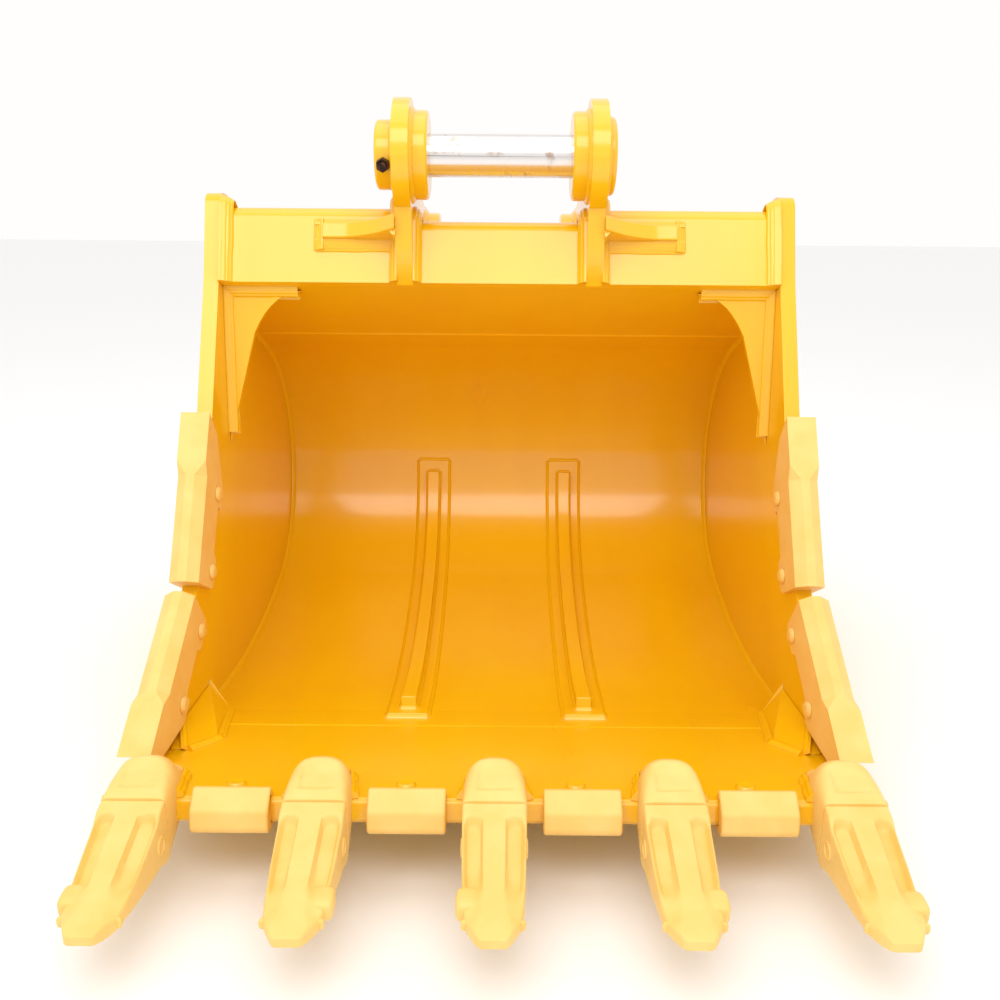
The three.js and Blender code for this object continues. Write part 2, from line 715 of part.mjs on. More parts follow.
function makePins() {
  const hole = crossRod(keeper.radius + keeper.play, -pins.hubRadius, pins.hubRadius, keeper.fall, BOLT_SIDES)
    .translate(keeperX, 0, 0);
  const low = -(earOuter + pins.retainerLength - pins.endInset);
  const high = earOuter + pins.plainLength - pins.endInset;
  const c = pins.chamfer;
  const shaft = turned([
    [low, 0], [low, pins.radius - c], [low + c, pins.radius],
    [high - c, pins.radius], [high, pins.radius - c], [high, 0],
  ]);
  const seatAt = pins.retainerRadius + GAP;
  const outside = keeper.nutHeight + keeper.tail;
  const shank = crossRod(keeper.radius, -seatAt - outside, seatAt + 1, keeper.fall, BOLT_SIDES);
  const head = crossRod(keeper.head, seatAt, seatAt + keeper.headHeight, keeper.fall, 6);
  const bolt = surface(solid(shank).add(solid(head)));
  const nutBody = crossRod(keeper.nut, -seatAt - keeper.nutHeight, -seatAt, keeper.fall, 6);
  const thread = crossRod(keeper.radius + GAP, -seatAt - outside, 0, keeper.fall, BOLT_SIDES);
  const nut = surface(solid(nutBody).subtract(solid(thread)));

  [["stick", frontPin], ["link", rearPin]].forEach(([use, centre]) => {
    const retainer = solid(makeBoss(-1, pins.retainerRadius, pins.retainerLength)).subtract(solid(hole));
    add(`${use}_boss_left`, surface(retainer), "paint").position.set(0, ...centre);
    const plain = makeBoss(1, pins.plainRadius, pins.plainLength);
    add(`${use}_boss_right`, plain, "paint").position.set(0, ...centre);
    add(`${use}_pin`, surface(solid(shaft).subtract(solid(hole))), "steel").position.set(0, ...centre);
    add(`${use}_pin_bolt`, bolt.clone(), "bolt").position.set(keeperX, ...centre);
    add(`${use}_pin_nut`, nut.clone(), "bolt").position.set(keeperX, ...centre);
  });
}

// ---------------------------------------------------------------- wear strips inside and outside

// The stretch of the shell's line from a length ahead of the straight floor's end to a heading on its curve.
function stretch(ahead, toHeading) {
  const fromY = line[1][0] - ahead;
  const after = line.findIndex(([, , heading]) => heading >= toHeading);
  const [a, b] = [line[after - 1], line[after]];
  const share = (toHeading - a[2]) / (b[2] - a[2]);
  const last = a.map((value, i) => value + share * (b[i] - value));
  return [[fromY, floorAt(fromY), -shell.floorFall], ...line.slice(1, after), last];
}

function makeWearStrips() {
  const { offset: x, width, doubler, barWidth, barHeight, ahead, end, inset } = wearStrip;
  const pad = bandOutline(stretch(ahead, end), -GAP - doubler, -GAP);
  const barEnd = end - degrees(inset / shell.backRadius);
  const raised = bandOutline(stretch(ahead - inset, barEnd), -GAP - doubler - barHeight, -GAP - doubler / 2);
  const strip = solid(acrossX(pad, -width / 2, width / 2))
    .add(solid(acrossX(raised, -barWidth / 2, barWidth / 2)));
  SIDES.forEach(([hand, sign]) => {
    add(`wear_strip_${hand}`, surface(strip), "paint").position.x = sign * x;
  });

  const under = [shell.plate + GAP, shell.plate + GAP + heelStrap.thickness];
  const cross = stretch(heelStrap.ahead, heelStrap.crossTo).filter(([, , h]) => h >= heelStrap.crossFrom);
  const half = heelStrap.offsets.at(-1) + heelStrap.width / 2;
  const band = solid(acrossX(bandOutline(cross, ...under), -half, half));
  const grid = heelStrap.offsets.reduce((joined, middle) => joined.add(solid(acrossX(
    bandOutline(stretch(heelStrap.ahead, heelStrap.end), ...under),
    middle - heelStrap.width / 2,
    middle + heelStrap.width / 2,
  ))), band);
  add("heel_wear_grid", closedIn(surface(grid)), "paint");
}

// ---------------------------------------------------------------- teeth, adapters and lip shrouds

const jointMiddle = [lipFront.y + tooth.joint[0], lipFront.z + tooth.joint[1]];
const toothAxis = 180 + tooth.fall; // heading of a tooth, in side view

// A block whose sections are [distance along the tooth, half width, bottom, top], edges chamfered by c.
const taperedBlock = (sections, c) => hull(sections.flatMap(([at, half, bottom, top]) => [
  [half - c, -at, bottom], [half, -at, bottom + c], [half, -at, top - c], [half - c, -at, top],
  [c - half, -at, bottom], [-half, -at, bottom + c], [-half, -at, top - c], [c - half, -at, top],
]));

function noseBlock(play, reach) {
  const { width, height, length, endWidth, endHeight } = nose;
  const shrink = reach / length;
  return taperedBlock([
    [-reach, width / 2 + play + ((width - endWidth) / 2) * shrink, -height / 2 - play, height / 2 + play],
    [0, width / 2 + play, -height / 2 - play, height / 2 + play],
    [length + play, endWidth / 2 + play, -endHeight / 2 - play, endHeight / 2 + play],
  ], 4);
}

const pinAcross = (radius, half) => rod(-half, half, radius, BOLT_SIDES)
  .translate(0, -toothPin.at, toothPin.rise);

function makeTooth() {
  const c = 9;
  const body = solid(taperedBlock([
    [0, tooth.width / 2, -tooth.height / 2, tooth.height / 2],
    [tooth.kneeAt, tooth.kneeWidth / 2, tooth.kneeBottom, tooth.kneeTop],
  ], c)).add(solid(taperedBlock([
    [tooth.kneeAt - 1, tooth.kneeWidth / 2, tooth.kneeBottom, tooth.kneeTop],
    [tooth.length, tooth.tipWidth / 2, tooth.tipBottom, tooth.tipTop],
  ], 4)));
  return surface(body
    .subtract(solid(noseBlock(nose.play, 2)))
    .subtract(solid(pinAcross(toothPin.radius + toothPin.play, tooth.width))));
}

const toWorldTilt = (geometry) => geometry.rotateX(rad(tooth.fall)).translate(0, ...jointMiddle);

function makeAdapter() {
  const jointEdge = (rise) => along(along(jointMiddle, toothAxis, -GAP), toothAxis - 90, rise);
  const half = tooth.height / 2;
  const { y, z } = lipFront;
  const lowEnd = y + adapter.lowerLength;
  const topEnd = y + adapter.strapLength;
  const sideView = outline([
    jointEdge(-half),
    [y + 20, under(y) - adapter.lowerThickness - 8, 20],
    [lowEnd - 16, under(lowEnd) - adapter.lowerThickness * 0.7, 8],
    [lowEnd, under(lowEnd) - GAP],
    [y - LIP_FIT, under(y) - GAP],
    [y - LIP_FIT, z + GAP],
    [topEnd, floorAt(topEnd) + GAP],
    [topEnd - 20, floorAt(topEnd) + adapter.strapThickness, 8],
    [y + adapter.humpBack + 54, z + adapter.strapThickness + 16, 30],
    [y + adapter.humpBack, z + adapter.humpHeight, 14],
    jointEdge(half),
  ]);
  const wide = adapter.width / 2;
  const slim = adapter.strapWidth / 2;
  const ahead = jointEdge(half)[0] - 2;
  const far = y + Math.max(adapter.strapLength, adapter.lowerLength) + 2;
  const neck = y + adapter.humpBack;
  const plan = outline([
    [-wide, ahead], [wide, ahead], [wide, neck, 20], [slim, neck + 44, 20], [slim, far, 30],
    [-slim, far, 30], [-slim, neck + 44, 20], [-wide, neck, 20],
  ]);
  const body = solid(acrossX(sideView, -wide, wide)).intersect(solid(prism(plan, 2 * z)));
  const noseSolid = solid(toWorldTilt(noseBlock(0, 4)));
  const hole = solid(toWorldTilt(pinAcross(toothPin.radius + toothPin.play, adapter.width)));
  return surface(body.add(noseSolid).subtract(hole));
}

function makeShroud() {
  const { y } = lipFront;
  const end = y + shroud.back;
  const lowEnd = y + shroud.lowerBack;
  const sideView = outline([
    [end, floorAt(end) + GAP],
    [end - 4, floorAt(end) + shroud.top],
    [y, lipFront.z + shroud.top, 6],
    [y - shroud.front, lipFront.z + shroud.top - shroud.slope, 16],
    [y - shroud.front, under(y) - shroud.bottom, 20],
    [lowEnd - 8, under(lowEnd) - shroud.bottom],
    [lowEnd, under(lowEnd) - GAP],
    [y - LIP_FIT, under(y) - GAP],
    [y - LIP_FIT, lipFront.z + GAP],
  ]);
  return acrossX(sideView, -shroud.width / 2, shroud.width / 2);
}

function makeCuttingEdge() {
  const toothShape = makeTooth();
  const adapterShape = makeAdapter();
  const pinHalf = tooth.width / 2 - toothPin.inset;
  const lockPin = rod(-pinHalf, pinHalf, toothPin.radius, BOLT_SIDES);
  for (let i = 0; i < TEETH; i += 1) {
    const x = (i - (TEETH - 1) / 2) * tooth.pitch;
    add(`adapter_${i + 1}`, adapterShape.clone(), "cast").position.x = x;
    const frame = new THREE.Group();
    frame.position.set(x, ...jointMiddle);
    frame.rotation.x = rad(tooth.fall);
    bucket.add(frame);
    add(`tooth_${i + 1}`, toothShape.clone(), "cast", frame);
    add(`tooth_pin_${i + 1}`, lockPin.clone(), "bolt", frame).position.set(0, -toothPin.at, toothPin.rise);
    if (i < TEETH - 1) {
      add(`lip_shroud_${i + 1}`, makeShroud(), "cast").position.x = x + tooth.pitch / 2;
    }
  }
}

makeShell();
makeSides();
makeGussets();
makeEars();
makePins();
makeWearStrips();
makeCuttingEdge();

// The bucket lies on its heel: on the facet under the wear grid that its centre of mass is square above.
function centreOfMass() {
  bucket.updateMatrixWorld(true);
  const centre = new THREE.Vector3();
  let volume = 0;
  bucket.traverse((mesh) => {
    if (!mesh.isMesh) return;
    const bare = mesh.geometry.index ? mesh.geometry.toNonIndexed() : mesh.geometry;
    const { position } = bare.attributes;
    for (let i = 0; i < position.count; i += 3) {
      const [a, b, c] = [i, i + 1, i + 2].map((k) => (
        new THREE.Vector3().fromBufferAttribute(position, k).applyMatrix4(mesh.matrixWorld)
      ));
      const share = a.dot(b.clone().cross(c)); // six times the volume between the facet and the datum
      volume += share;
      centre.addScaledVector(a.add(b).add(c), share / 4);
    }
  });
  return centre.divideScalar(volume);
}
const centre = centreOfMass();
const underside = stretch(heelStrap.ahead, heelStrap.end)
  .map((sample) => offset(sample, shell.plate + GAP + heelStrap.thickness));
const past = ([y, z], heading) => (
  (centre.y - y) * Math.cos(rad(heading)) + (centre.z - z) * Math.sin(rad(heading))
);
const rest = underside.slice(1)
  .map((end, i) => ({ start: underside[i], end, heading: headingOf(underside[i], end) }))
  .find(({ start, end, heading }) => past(start, heading) >= 0 && past(end, heading) <= 0);
bucket.rotation.x = -rad(rest.heading);

// The finished part's origin: under the middle of its bounding box.
const bounds = new THREE.Box3().setFromObject(bucket, true);
bucket.position.set(0, -(bounds.min.y + bounds.max.y) / 2, -bounds.min.z);
const part = new THREE.Group();
part.add(bucket);

export default part;
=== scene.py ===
"""A heavy rock bucket for an excavator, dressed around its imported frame.

The plates, castings and pins of the frame get softened edges and real finishes. The teeth and their adapters
are shaped again as castings, and every weld is laid as a rippled bead. Lengths are metres: +Z is up and the
teeth point along -Y. Side-view points are [y, z].
"""
import logging
import math
from dataclasses import dataclass
from enum import Enum
from typing import Sequence, Union

import bmesh
import bpy
import numpy as np
from mathutils import Euler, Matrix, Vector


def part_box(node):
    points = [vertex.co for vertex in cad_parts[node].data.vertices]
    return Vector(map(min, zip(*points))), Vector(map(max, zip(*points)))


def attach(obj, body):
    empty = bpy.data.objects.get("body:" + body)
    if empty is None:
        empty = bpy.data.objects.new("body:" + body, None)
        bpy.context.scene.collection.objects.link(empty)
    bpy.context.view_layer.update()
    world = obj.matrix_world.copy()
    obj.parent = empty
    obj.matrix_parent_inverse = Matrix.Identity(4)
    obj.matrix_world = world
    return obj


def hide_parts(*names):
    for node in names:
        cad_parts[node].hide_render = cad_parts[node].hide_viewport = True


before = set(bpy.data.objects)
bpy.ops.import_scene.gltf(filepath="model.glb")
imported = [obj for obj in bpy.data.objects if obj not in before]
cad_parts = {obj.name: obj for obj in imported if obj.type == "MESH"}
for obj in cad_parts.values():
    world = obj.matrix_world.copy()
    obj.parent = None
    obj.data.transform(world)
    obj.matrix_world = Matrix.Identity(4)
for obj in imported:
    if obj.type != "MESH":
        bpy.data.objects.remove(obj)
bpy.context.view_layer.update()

Array = np.ndarray
Number = Union[float, "Value"]

BODY = "bucket"
WELDED_GAP = 0.0004
X_AXIS = np.array([1.0, 0.0, 0.0])
Y_AXIS = np.array([0.0, 1.0, 0.0])
Z_AXIS = np.array([0.0, 0.0, 1.0])

log = logging.getLogger("bucket")


# ------------------------------------------------------------------------------------------ shader maths


class Value:
    """A shader socket that carries a number, with arithmetic that adds Math nodes."""

    def __init__(self, graph: "Graph", socket: bpy.types.NodeSocket) -> None:
        """Keep the graph and the socket."""
        self.graph = graph
        self.socket = socket

    def _with(self, operation: str, first: Number, second: Number) -> "Value":
        """Add one Math node.

        Args:
            operation: the Math node's operation.
            first: its first input.
            second: its second input.

        Returns:
            The node's result.
        """
        node = self.graph.node("ShaderNodeMath", {"operation": operation}, {0: first, 1: second})
        return Value(self.graph, node.outputs[0])

    def __add__(self, other: Number) -> "Value":
        """Sum."""
        return self._with("ADD", self, other)

    def __sub__(self, other: Number) -> "Value":
        """Difference."""
        return self._with("SUBTRACT", self, other)

    def __rsub__(self, other: Number) -> "Value":
        """Difference, with this value taken away."""
        return self._with("SUBTRACT", other, self)

    def __mul__(self, other: Number) -> "Value":
        """Product."""
        return self._with("MULTIPLY", self, other)

    def above(self, limit: float, soft: float) -> "Value":
        """A smooth step.

        Args:
            limit: where the step is half way up.
            soft: half the width of the step.

        Returns:
            0 below the step and 1 above it.
        """
        sockets = {"Value": self, "From Min": limit - soft, "From Max": limit + soft}
        node = self.graph.node("ShaderNodeMapRange", {"interpolation_type": "SMOOTHSTEP"}, sockets)
        return Value(self.graph, node.outputs[0])

    __radd__ = __add__
    __rmul__ = __mul__


class Graph:
    """The node tree of one material while it is made."""

    def __init__(self, name: str) -> None:
        """Start an empty material called name."""
        self.material = bpy.data.materials.new(name)
        self.material.use_nodes = True
        self.tree = self.material.node_tree
        self.tree.nodes.clear()
        self.place = self.node("ShaderNodeTexCoord").outputs["Object"]

    def node(self, kind: str, settings: dict | None = None, sockets: dict | None = None) -> bpy.types.Node:
        """Add a node.

        Args:
            kind: the node's type.
            settings: its own properties, set first.
            sockets: values or links of its inputs, by name or number.

        Returns:
            The node.
        """
        node = self.tree.nodes.new(kind)
        for key, setting in (settings or {}).items():
            setattr(node, key, setting)
        for key, value in (sockets or {}).items():
            source = value.socket if isinstance(value, Value) else value
            if isinstance(source, bpy.types.NodeSocket):
                self.tree.links.new(source, node.inputs[key])
            else:
                node.inputs[key].default_value = source
        return node

    def stretched(self, scale: Sequence[float]) -> bpy.types.NodeSocket:
        """Object coordinates multiplied by scale, axis by axis."""
        return self.node("ShaderNodeMapping", None, {"Vector": self.place, "Scale": scale}).outputs[0]

    def noise(self, scale: float, detail: float = 2.0, place: bpy.types.NodeSocket | None = None) -> Value:
        """Cloud noise.

        Args:
            scale: clouds per metre.
            detail: how many finer layers it has.
            place: coordinates other than the object's own.

        Returns:
            The noise, about 0.5 on average.
        """
        sockets = {"Vector": place or self.place, "Scale": scale, "Detail": detail}
        return Value(self, self.node("ShaderNodeTexNoise", None, sockets).outputs[0])

    def pits(self, scale: float) -> Value:
        """Distance to the nearest of a scatter of points, scale of them per metre."""
        sockets = {"Vector": self.place, "Scale": scale}
        return Value(self, self.node("ShaderNodeTexVoronoi", None, sockets).outputs[0])

    def mix(self, share: Number, first: Sequence[float], second: Sequence[float]) -> bpy.types.NodeSocket:
        """Blend two colours.

        Args:
            share: how much of the second.
            first: a colour, or a colour socket.
            second: a colour, or a colour socket.

        Returns:
            The blended colour's socket.
        """
        sockets = {"Factor": share, 6: first, 7: second}
        return self.node("ShaderNodeMix", {"data_type": "RGBA"}, sockets).outputs[2]

    def bump(self, height: Value, distance: float, strength: float = 1.0) -> bpy.types.NodeSocket:
        """A normal bent by a height.

        Args:
            height: the relief, from 0 to 1.
            distance: metres that a height of 1 stands for.
            strength: how much of it shows.

        Returns:
            The normal's socket.
        """
        sockets = {"Height": height, "Distance": distance, "Strength": strength}
        return self.node("ShaderNodeBump", None, sockets).outputs[0]

    def close(self, sockets: dict) -> bpy.types.Material:
        """End the tree in a principled shader.

        Args:
            sockets: values and links of the shader's inputs.

        Returns:
            The material.
        """
        shader = self.node("ShaderNodeBsdfPrincipled", None, sockets)
        self.node("ShaderNodeOutputMaterial", None, {"Surface": shader.outputs[0]})
        return self.material


def rgb(red: float, green: float, blue: float) -> tuple[float, float, float, float]:
    """A linear colour with full cover."""
    return red, green, blue, 1.0


class Slot(Enum):
    """The record's material slots."""

    PAINT = "paint"
    CAST = "cast"
    STEEL = "steel"
    BOLT = "bolt"


@dataclass(frozen=True)
class Enamel:
    """Glossy yellow enamel sprayed on rolled plate and welds."""

    slot: Slot = Slot.PAINT
    yellow: tuple = rgb(0.92, 0.54, 0.002)
    thin: tuple = rgb(0.88, 0.47, 0.002)
    gloss: float = 0.24
    coat: float = 0.6

    def material(self) -> bpy.types.Material:
        """Clouded yellow with orange peel and the slight waves of rolled plate.

        Returns:
            The enamel material.
        """
        graph = Graph("yellow_enamel")
        cloud = graph.noise(2.6, 3.0)
        streak = graph.noise(1.0, 3.0, graph.stretched((9.0, 2.0, 1.5)))
        share = (cloud * 0.6 + streak * 0.4).above(0.5, 0.3)
        dust = graph.noise(420.0, 1.0).above(0.76, 0.03)
        colour = graph.mix(share, self.yellow, self.thin)
        peel = graph.bump(graph.noise(260.0, 1.0), 0.00018, 0.35)
        waves = graph.noise(7.0, 1.0)
        wavy = graph.node("ShaderNodeBump", None, {
            "Height": waves + dust * 0.015, "Distance": 0.0035, "Strength": 0.35, "Normal": peel,
        })
        return graph.close({
            "Base Color": colour,
            "Roughness": cloud * 0.12 + streak * 0.08 + (self.gloss - 0.1) + dust * 0.2,
            "Coat Weight": self.coat,
            "Coat Roughness": 0.12,
            "Normal": wavy.outputs[0],
        })


@dataclass(frozen=True)
class CastPaint:
    """Thin yellow paint over the rough skin of a steel casting."""

    slot: Slot = Slot.CAST
    yellow: tuple = rgb(0.90, 0.56, 0.14)
    pale: tuple = rgb(0.93, 0.62, 0.19)

    def material(self) -> bpy.types.Material:
        """Matte yellow in clouds over fine sand grain and a few pits.

        Returns:
            The cast paint material.
        """
        graph = Graph("cast_paint")
        grain = graph.noise(900.0, 2.0)
        skin = graph.noise(120.0, 3.0)
        pit = 1.0 - graph.pits(95.0).above(0.16, 0.05)
        cloud = graph.noise(14.0, 3.0)
        colour = graph.mix(cloud.above(0.5, 0.22), self.yellow, self.pale)
        relief = grain * 0.3 + skin * 0.7 - pit * 0.5
        return graph.close({
            "Base Color": colour,
            "Roughness": cloud * 0.15 + grain * 0.08 + 0.36,
            "Normal": graph.bump(relief, 0.0007, 0.55),
        })


@dataclass(frozen=True)
class GroundSteel:
    """Hardened pin steel, ground round its axis."""

    slot: Slot = Slot.STEEL
    bright: tuple = rgb(0.80, 0.76, 0.74)
    stained: tuple = rgb(0.52, 0.40, 0.33)

    def material(self) -> bpy.types.Material:
        """Bright metal with fine rings along X and a few stains.

        Returns:
            The ground steel material.
        """
        graph = Graph("ground_steel")
        rings = graph.noise(1.0, 2.0, graph.stretched((900.0, 5.0, 5.0)))
        stain = graph.noise(22.0, 4.0)
        colour = graph.mix(stain.above(0.66, 0.08), self.bright, self.stained)
        return graph.close({
            "Base Color": colour,
            "Metallic": 1.0,
            "Roughness": rings * 0.16 + stain * 0.12 + 0.1,
            "Normal": graph.bump(rings, 0.00006, 0.5),
        })


@dataclass(frozen=True)
class DarkSteel:
    """Black oxide bolts with a brown film."""

    slot: Slot = Slot.BOLT
    oxide: tuple = rgb(0.022, 0.012, 0.010)
    film: tuple = rgb(0.115, 0.034, 0.015)

    def material(self) -> bpy.types.Material:
        """Dark metal, browned in patches.

        Returns:
            The dark steel material.
        """
        graph = Graph("dark_steel")
        patch = graph.noise(70.0, 4.0)
        grain = graph.noise(600.0, 2.0)
        rusty = patch.above(0.52, 0.12)
        return graph.close({
            "Base Color": graph.mix(rusty, self.oxide, self.film),
            "Metallic": 0.75 - rusty * 0.5,
            "Roughness": rusty * 0.25 + 0.38,
            "Normal": graph.bump(grain * 0.4 + patch * 0.6, 0.0004, 0.5),
        })


Finish = Union[Enamel, CastPaint, GroundSteel, DarkSteel]


class Finishes:
    """The bucket's materials, each made once."""

    def __init__(self, *finishes: Finish) -> None:
        """Make one material for each finish."""
        self.by_slot = {finish.slot: finish.material() for finish in finishes}

    def dress(self, piece: bpy.types.Object, slot: Slot, body: str = BODY) -> bpy.types.Object:
        """Give a piece the material of its slot, and its body.

        Args:
            piece: the finished object.
            slot: the record's slot.
            body: the body that it rides on.

        Returns:
            The same piece.
        """
        piece.data.materials.clear()
        piece.data.materials.append(self.by_slot[slot])
        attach(piece, body)
        log.info("piece %s: %d faces", piece.name, len(piece.data.polygons))
        return piece

    def weld(self, beads: Sequence["Surface"], name: str) -> bpy.types.Object:
        """Make one painted piece of several beads.

        Args:
            beads: the beads' surfaces.
            name: the piece's name.

        Returns:
            The piece.
        """
        return self.dress(Surface.joined(beads).piece(name), Slot.PAINT)


# ------------------------------------------------------------------------------------------ surfaces


@dataclass(frozen=True)
class Standing:
    """How the bucket stands: its own side view is turned about the front pin until it rests on the floor."""

    drawn_slope: float = math.atan2(-0.176, 0.491)

    @property
    def pin(self) -> Array:
        """The front pin's axis, [y, z]."""
        return middle_of("stick_pin")

    @property
    def angle(self) -> float:
        """The turn in radians: the slope from pin to pin, less the slope that is drawn."""
        away = middle_of("link_pin") - self.pin
        return math.atan2(away[1], away[0]) - self.drawn_slope

    def turned(self, points: Array) -> Array:
        """Points of the drawn bucket, turned about the front pin as it stands.

        Args:
            points: rows of [x, y, z].

        Returns:
            The turned rows.
        """
        cosine, sine = math.cos(self.angle), math.sin(self.angle)
        away = points[:, 1:] - self.pin
        across = away @ np.array([[cosine, sine], [-sine, cosine]])
        return np.column_stack([points[:, 0], across + self.pin])


def middle_of(node: str) -> Array:
    """The middle of a node's box, in side view."""
    low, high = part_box(node)
    return (np.array(low[1:]) + np.array(high[1:])) / 2.0


def smooth(value: Array | float) -> Array:
    """The cubic that rises from 0 at 0 to 1 at 1, and is flat beyond."""
    share = np.clip(value, 0.0, 1.0)
    return share * share * (3.0 - 2.0 * share)


def unit(vectors: Array) -> Array:
    """Vectors of length 1, along the last axis."""
    return vectors / np.linalg.norm(vectors, axis=-1, keepdims=True)


def in_space(points: Array, x: Array | float) -> Array:
    """Side-view points [y, z] at x, as [x, y, z]."""
    return np.column_stack([np.broadcast_to(x, len(points)), points])


def turned_left(vectors: Array) -> Array:
    """Side-view vectors turned a quarter turn anticlockwise."""
    return np.stack([-vectors[..., 1], vectors[..., 0]], axis=-1)


def heading(degrees: Array | float) -> Array:
    """The side-view direction, or directions, at an angle above +Y."""
    angle = np.radians(degrees)
    return np.stack([np.cos(angle), np.sin(angle)], axis=-1)


def tangents(path: Array) -> Array:
    """Directions along a path, by central differences."""
    return unit(np.gradient(path, axis=0))


def resampled(columns: Array, step: float) -> Array:
    """A path at even steps.

    Args:
        columns: one row per corner; the first three columns are the place, and the rest go with it.
        step: the longest step.

    Returns:
        Rows at even distances, interpolated in proportion to the length along the path.
    """
    lengths = np.linalg.norm(np.diff(columns[:, :3], axis=0), axis=1)
    at = np.concatenate([[0.0], np.cumsum(lengths)])
    wanted = np.linspace(0.0, at[-1], max(2, int(math.ceil(at[-1] / step)) + 1))
    return np.column_stack([np.interp(wanted, at, column) for column in columns.T])


def rounded(corners: Sequence[Sequence[float]], radii: Sequence[float], steps: int = 6) -> Array:
    """A polyline whose inner corners are rounded by arcs.

    Each arc touches both legs: its points are the quadratic blend of the two touching points and the corner.

    Args:
        corners: side-view corners.
        radii: one radius per corner; the ends are ignored.
        steps: chords per arc.

    Returns:
        The side-view points.
    """
    points = np.asarray(corners, dtype=float)
    pieces = [points[:1]]
    share = np.linspace(0.0, 1.0, steps + 1)[:, None]
    for before, here, after, radius in zip(points[:-2], points[1:-1], points[2:], radii[1:-1]):
        start = here + unit(before - here) * radius
        end = here + unit(after - here) * radius
        pieces.append((1 - share) ** 2 * start + 2 * share * (1 - share) * here + share**2 * end)
    pieces.append(points[-1:])
    return np.concatenate(pieces)


@dataclass
class Surface:
    """A closed surface: its points and its faces."""

    points: Array
    faces: list

    @staticmethod
    def stacked(rings: Array) -> "Surface":
        """Join rings into a closed surface.

        Neighbouring rings are joined by quads, and each end is closed by a fan round its middle.

        Args:
            rings: stations by points by 3.

        Returns:
            The surface, facing outwards.
        """
        stations, around, _ = rings.shape
        rows = np.arange(stations - 1)[:, None] * around
        first = np.arange(around)[None, :]
        after = (first + 1) % around
        quads = np.stack([rows + first, rows + after, rows + around + after, rows + around + first], axis=-1)
        points = np.concatenate([rings.reshape(-1, 3), rings[0].mean(axis=0)[None], rings[-1].mean(axis=0)[None]])
        low, high = len(points) - 2, len(points) - 1
        last = (stations - 1) * around
        start = np.stack([np.full(around, low), after[0], first[0]], axis=-1)
        end = np.stack([np.full(around, high), last + first[0], last + after[0]], axis=-1)
        faces = quads.reshape(-1, 4).tolist() + start.tolist() + end.tolist()
        surface = Surface(points, faces)
        triangles = np.concatenate([quads.reshape(-1, 4)[:, :3], quads.reshape(-1, 4)[:, [0, 2, 3]], start, end])
        a, b, c = (points[triangles[:, corner]] for corner in range(3))
        if np.einsum("ij,ij->i", a, np.cross(b, c)).sum() < 0:
            surface.faces = [face[::-1] for face in faces]
        return surface

    @staticmethod
    def joined(surfaces: Sequence["Surface"]) -> "Surface":
        """Several surfaces as one.

        Args:
            surfaces: the closed surfaces.

        Returns:
            One surface with all their points and faces.
        """
        faces, start = [], 0
        for surface in surfaces:
            faces += [[start + index for index in face] for face in surface.faces]
            start += len(surface.points)
        return Surface(np.concatenate([surface.points for surface in surfaces]), faces)

    def mirrored(self) -> "Surface":
        """The same surface on the other side of the middle plane."""
        return Surface(self.points * [-1.0, 1.0, 1.0], [face[::-1] for face in self.faces])

    def moved(self, x: float) -> "Surface":
        """The same surface, moved along X."""
        return Surface(self.points + [x, 0.0, 0.0], self.faces)

    def piece(self, name: str, sharp: float = 40.0) -> bpy.types.Object:
        """Make the surface an object.

        Args:
            name: the object's name.
            sharp: edges bent more than this many degrees stay crisp.

        Returns:
            The object, at the origin.
        """
        mesh = bpy.data.meshes.new(name)
        mesh.from_pydata(Standing().turned(self.points).tolist(), [], self.faces)
        mesh.polygons.foreach_set("use_smooth", [True] * len(mesh.polygons))
        mesh.set_sharp_from_angle(angle=math.radians(sharp))
        piece = bpy.data.objects.new(name, mesh)
        bpy.context.scene.collection.objects.link(piece)
        return piece


def lump(centre: Array, ahead: Array, across: Array, up: Array, power: float = 3.0, count: int = 20) -> Surface:
    """A superellipsoid.

    At latitude v and longitude u each of sin and cos is raised to 2/power, keeping its sign, and the three
    products are the shares of the three half axes.

    Args:
        centre: its middle.
        ahead: first half axis, as a vector; the poles are on the third.
        across: second half axis.
        up: third half axis.
        power: 2 for an ellipsoid, more for a squarer lump.
        count: points round it.

    Returns:
        The closed surface.
    """
    sharpen = lambda value: np.sign(value) * np.abs(value) ** (2.0 / power)
    v = np.linspace(-0.497, 0.497, count // 2 + 1)[:, None] * math.pi
    u = np.arange(count)[None, :] * (2.0 * math.pi / count)
    x = sharpen(np.cos(v)) * sharpen(np.cos(u))
    y = sharpen(np.cos(v)) * sharpen(np.sin(u))
    z = sharpen(np.sin(v)) * np.ones_like(u)
    return Surface.stacked(centre + x[..., None] * ahead + y[..., None] * across + z[..., None] * up)


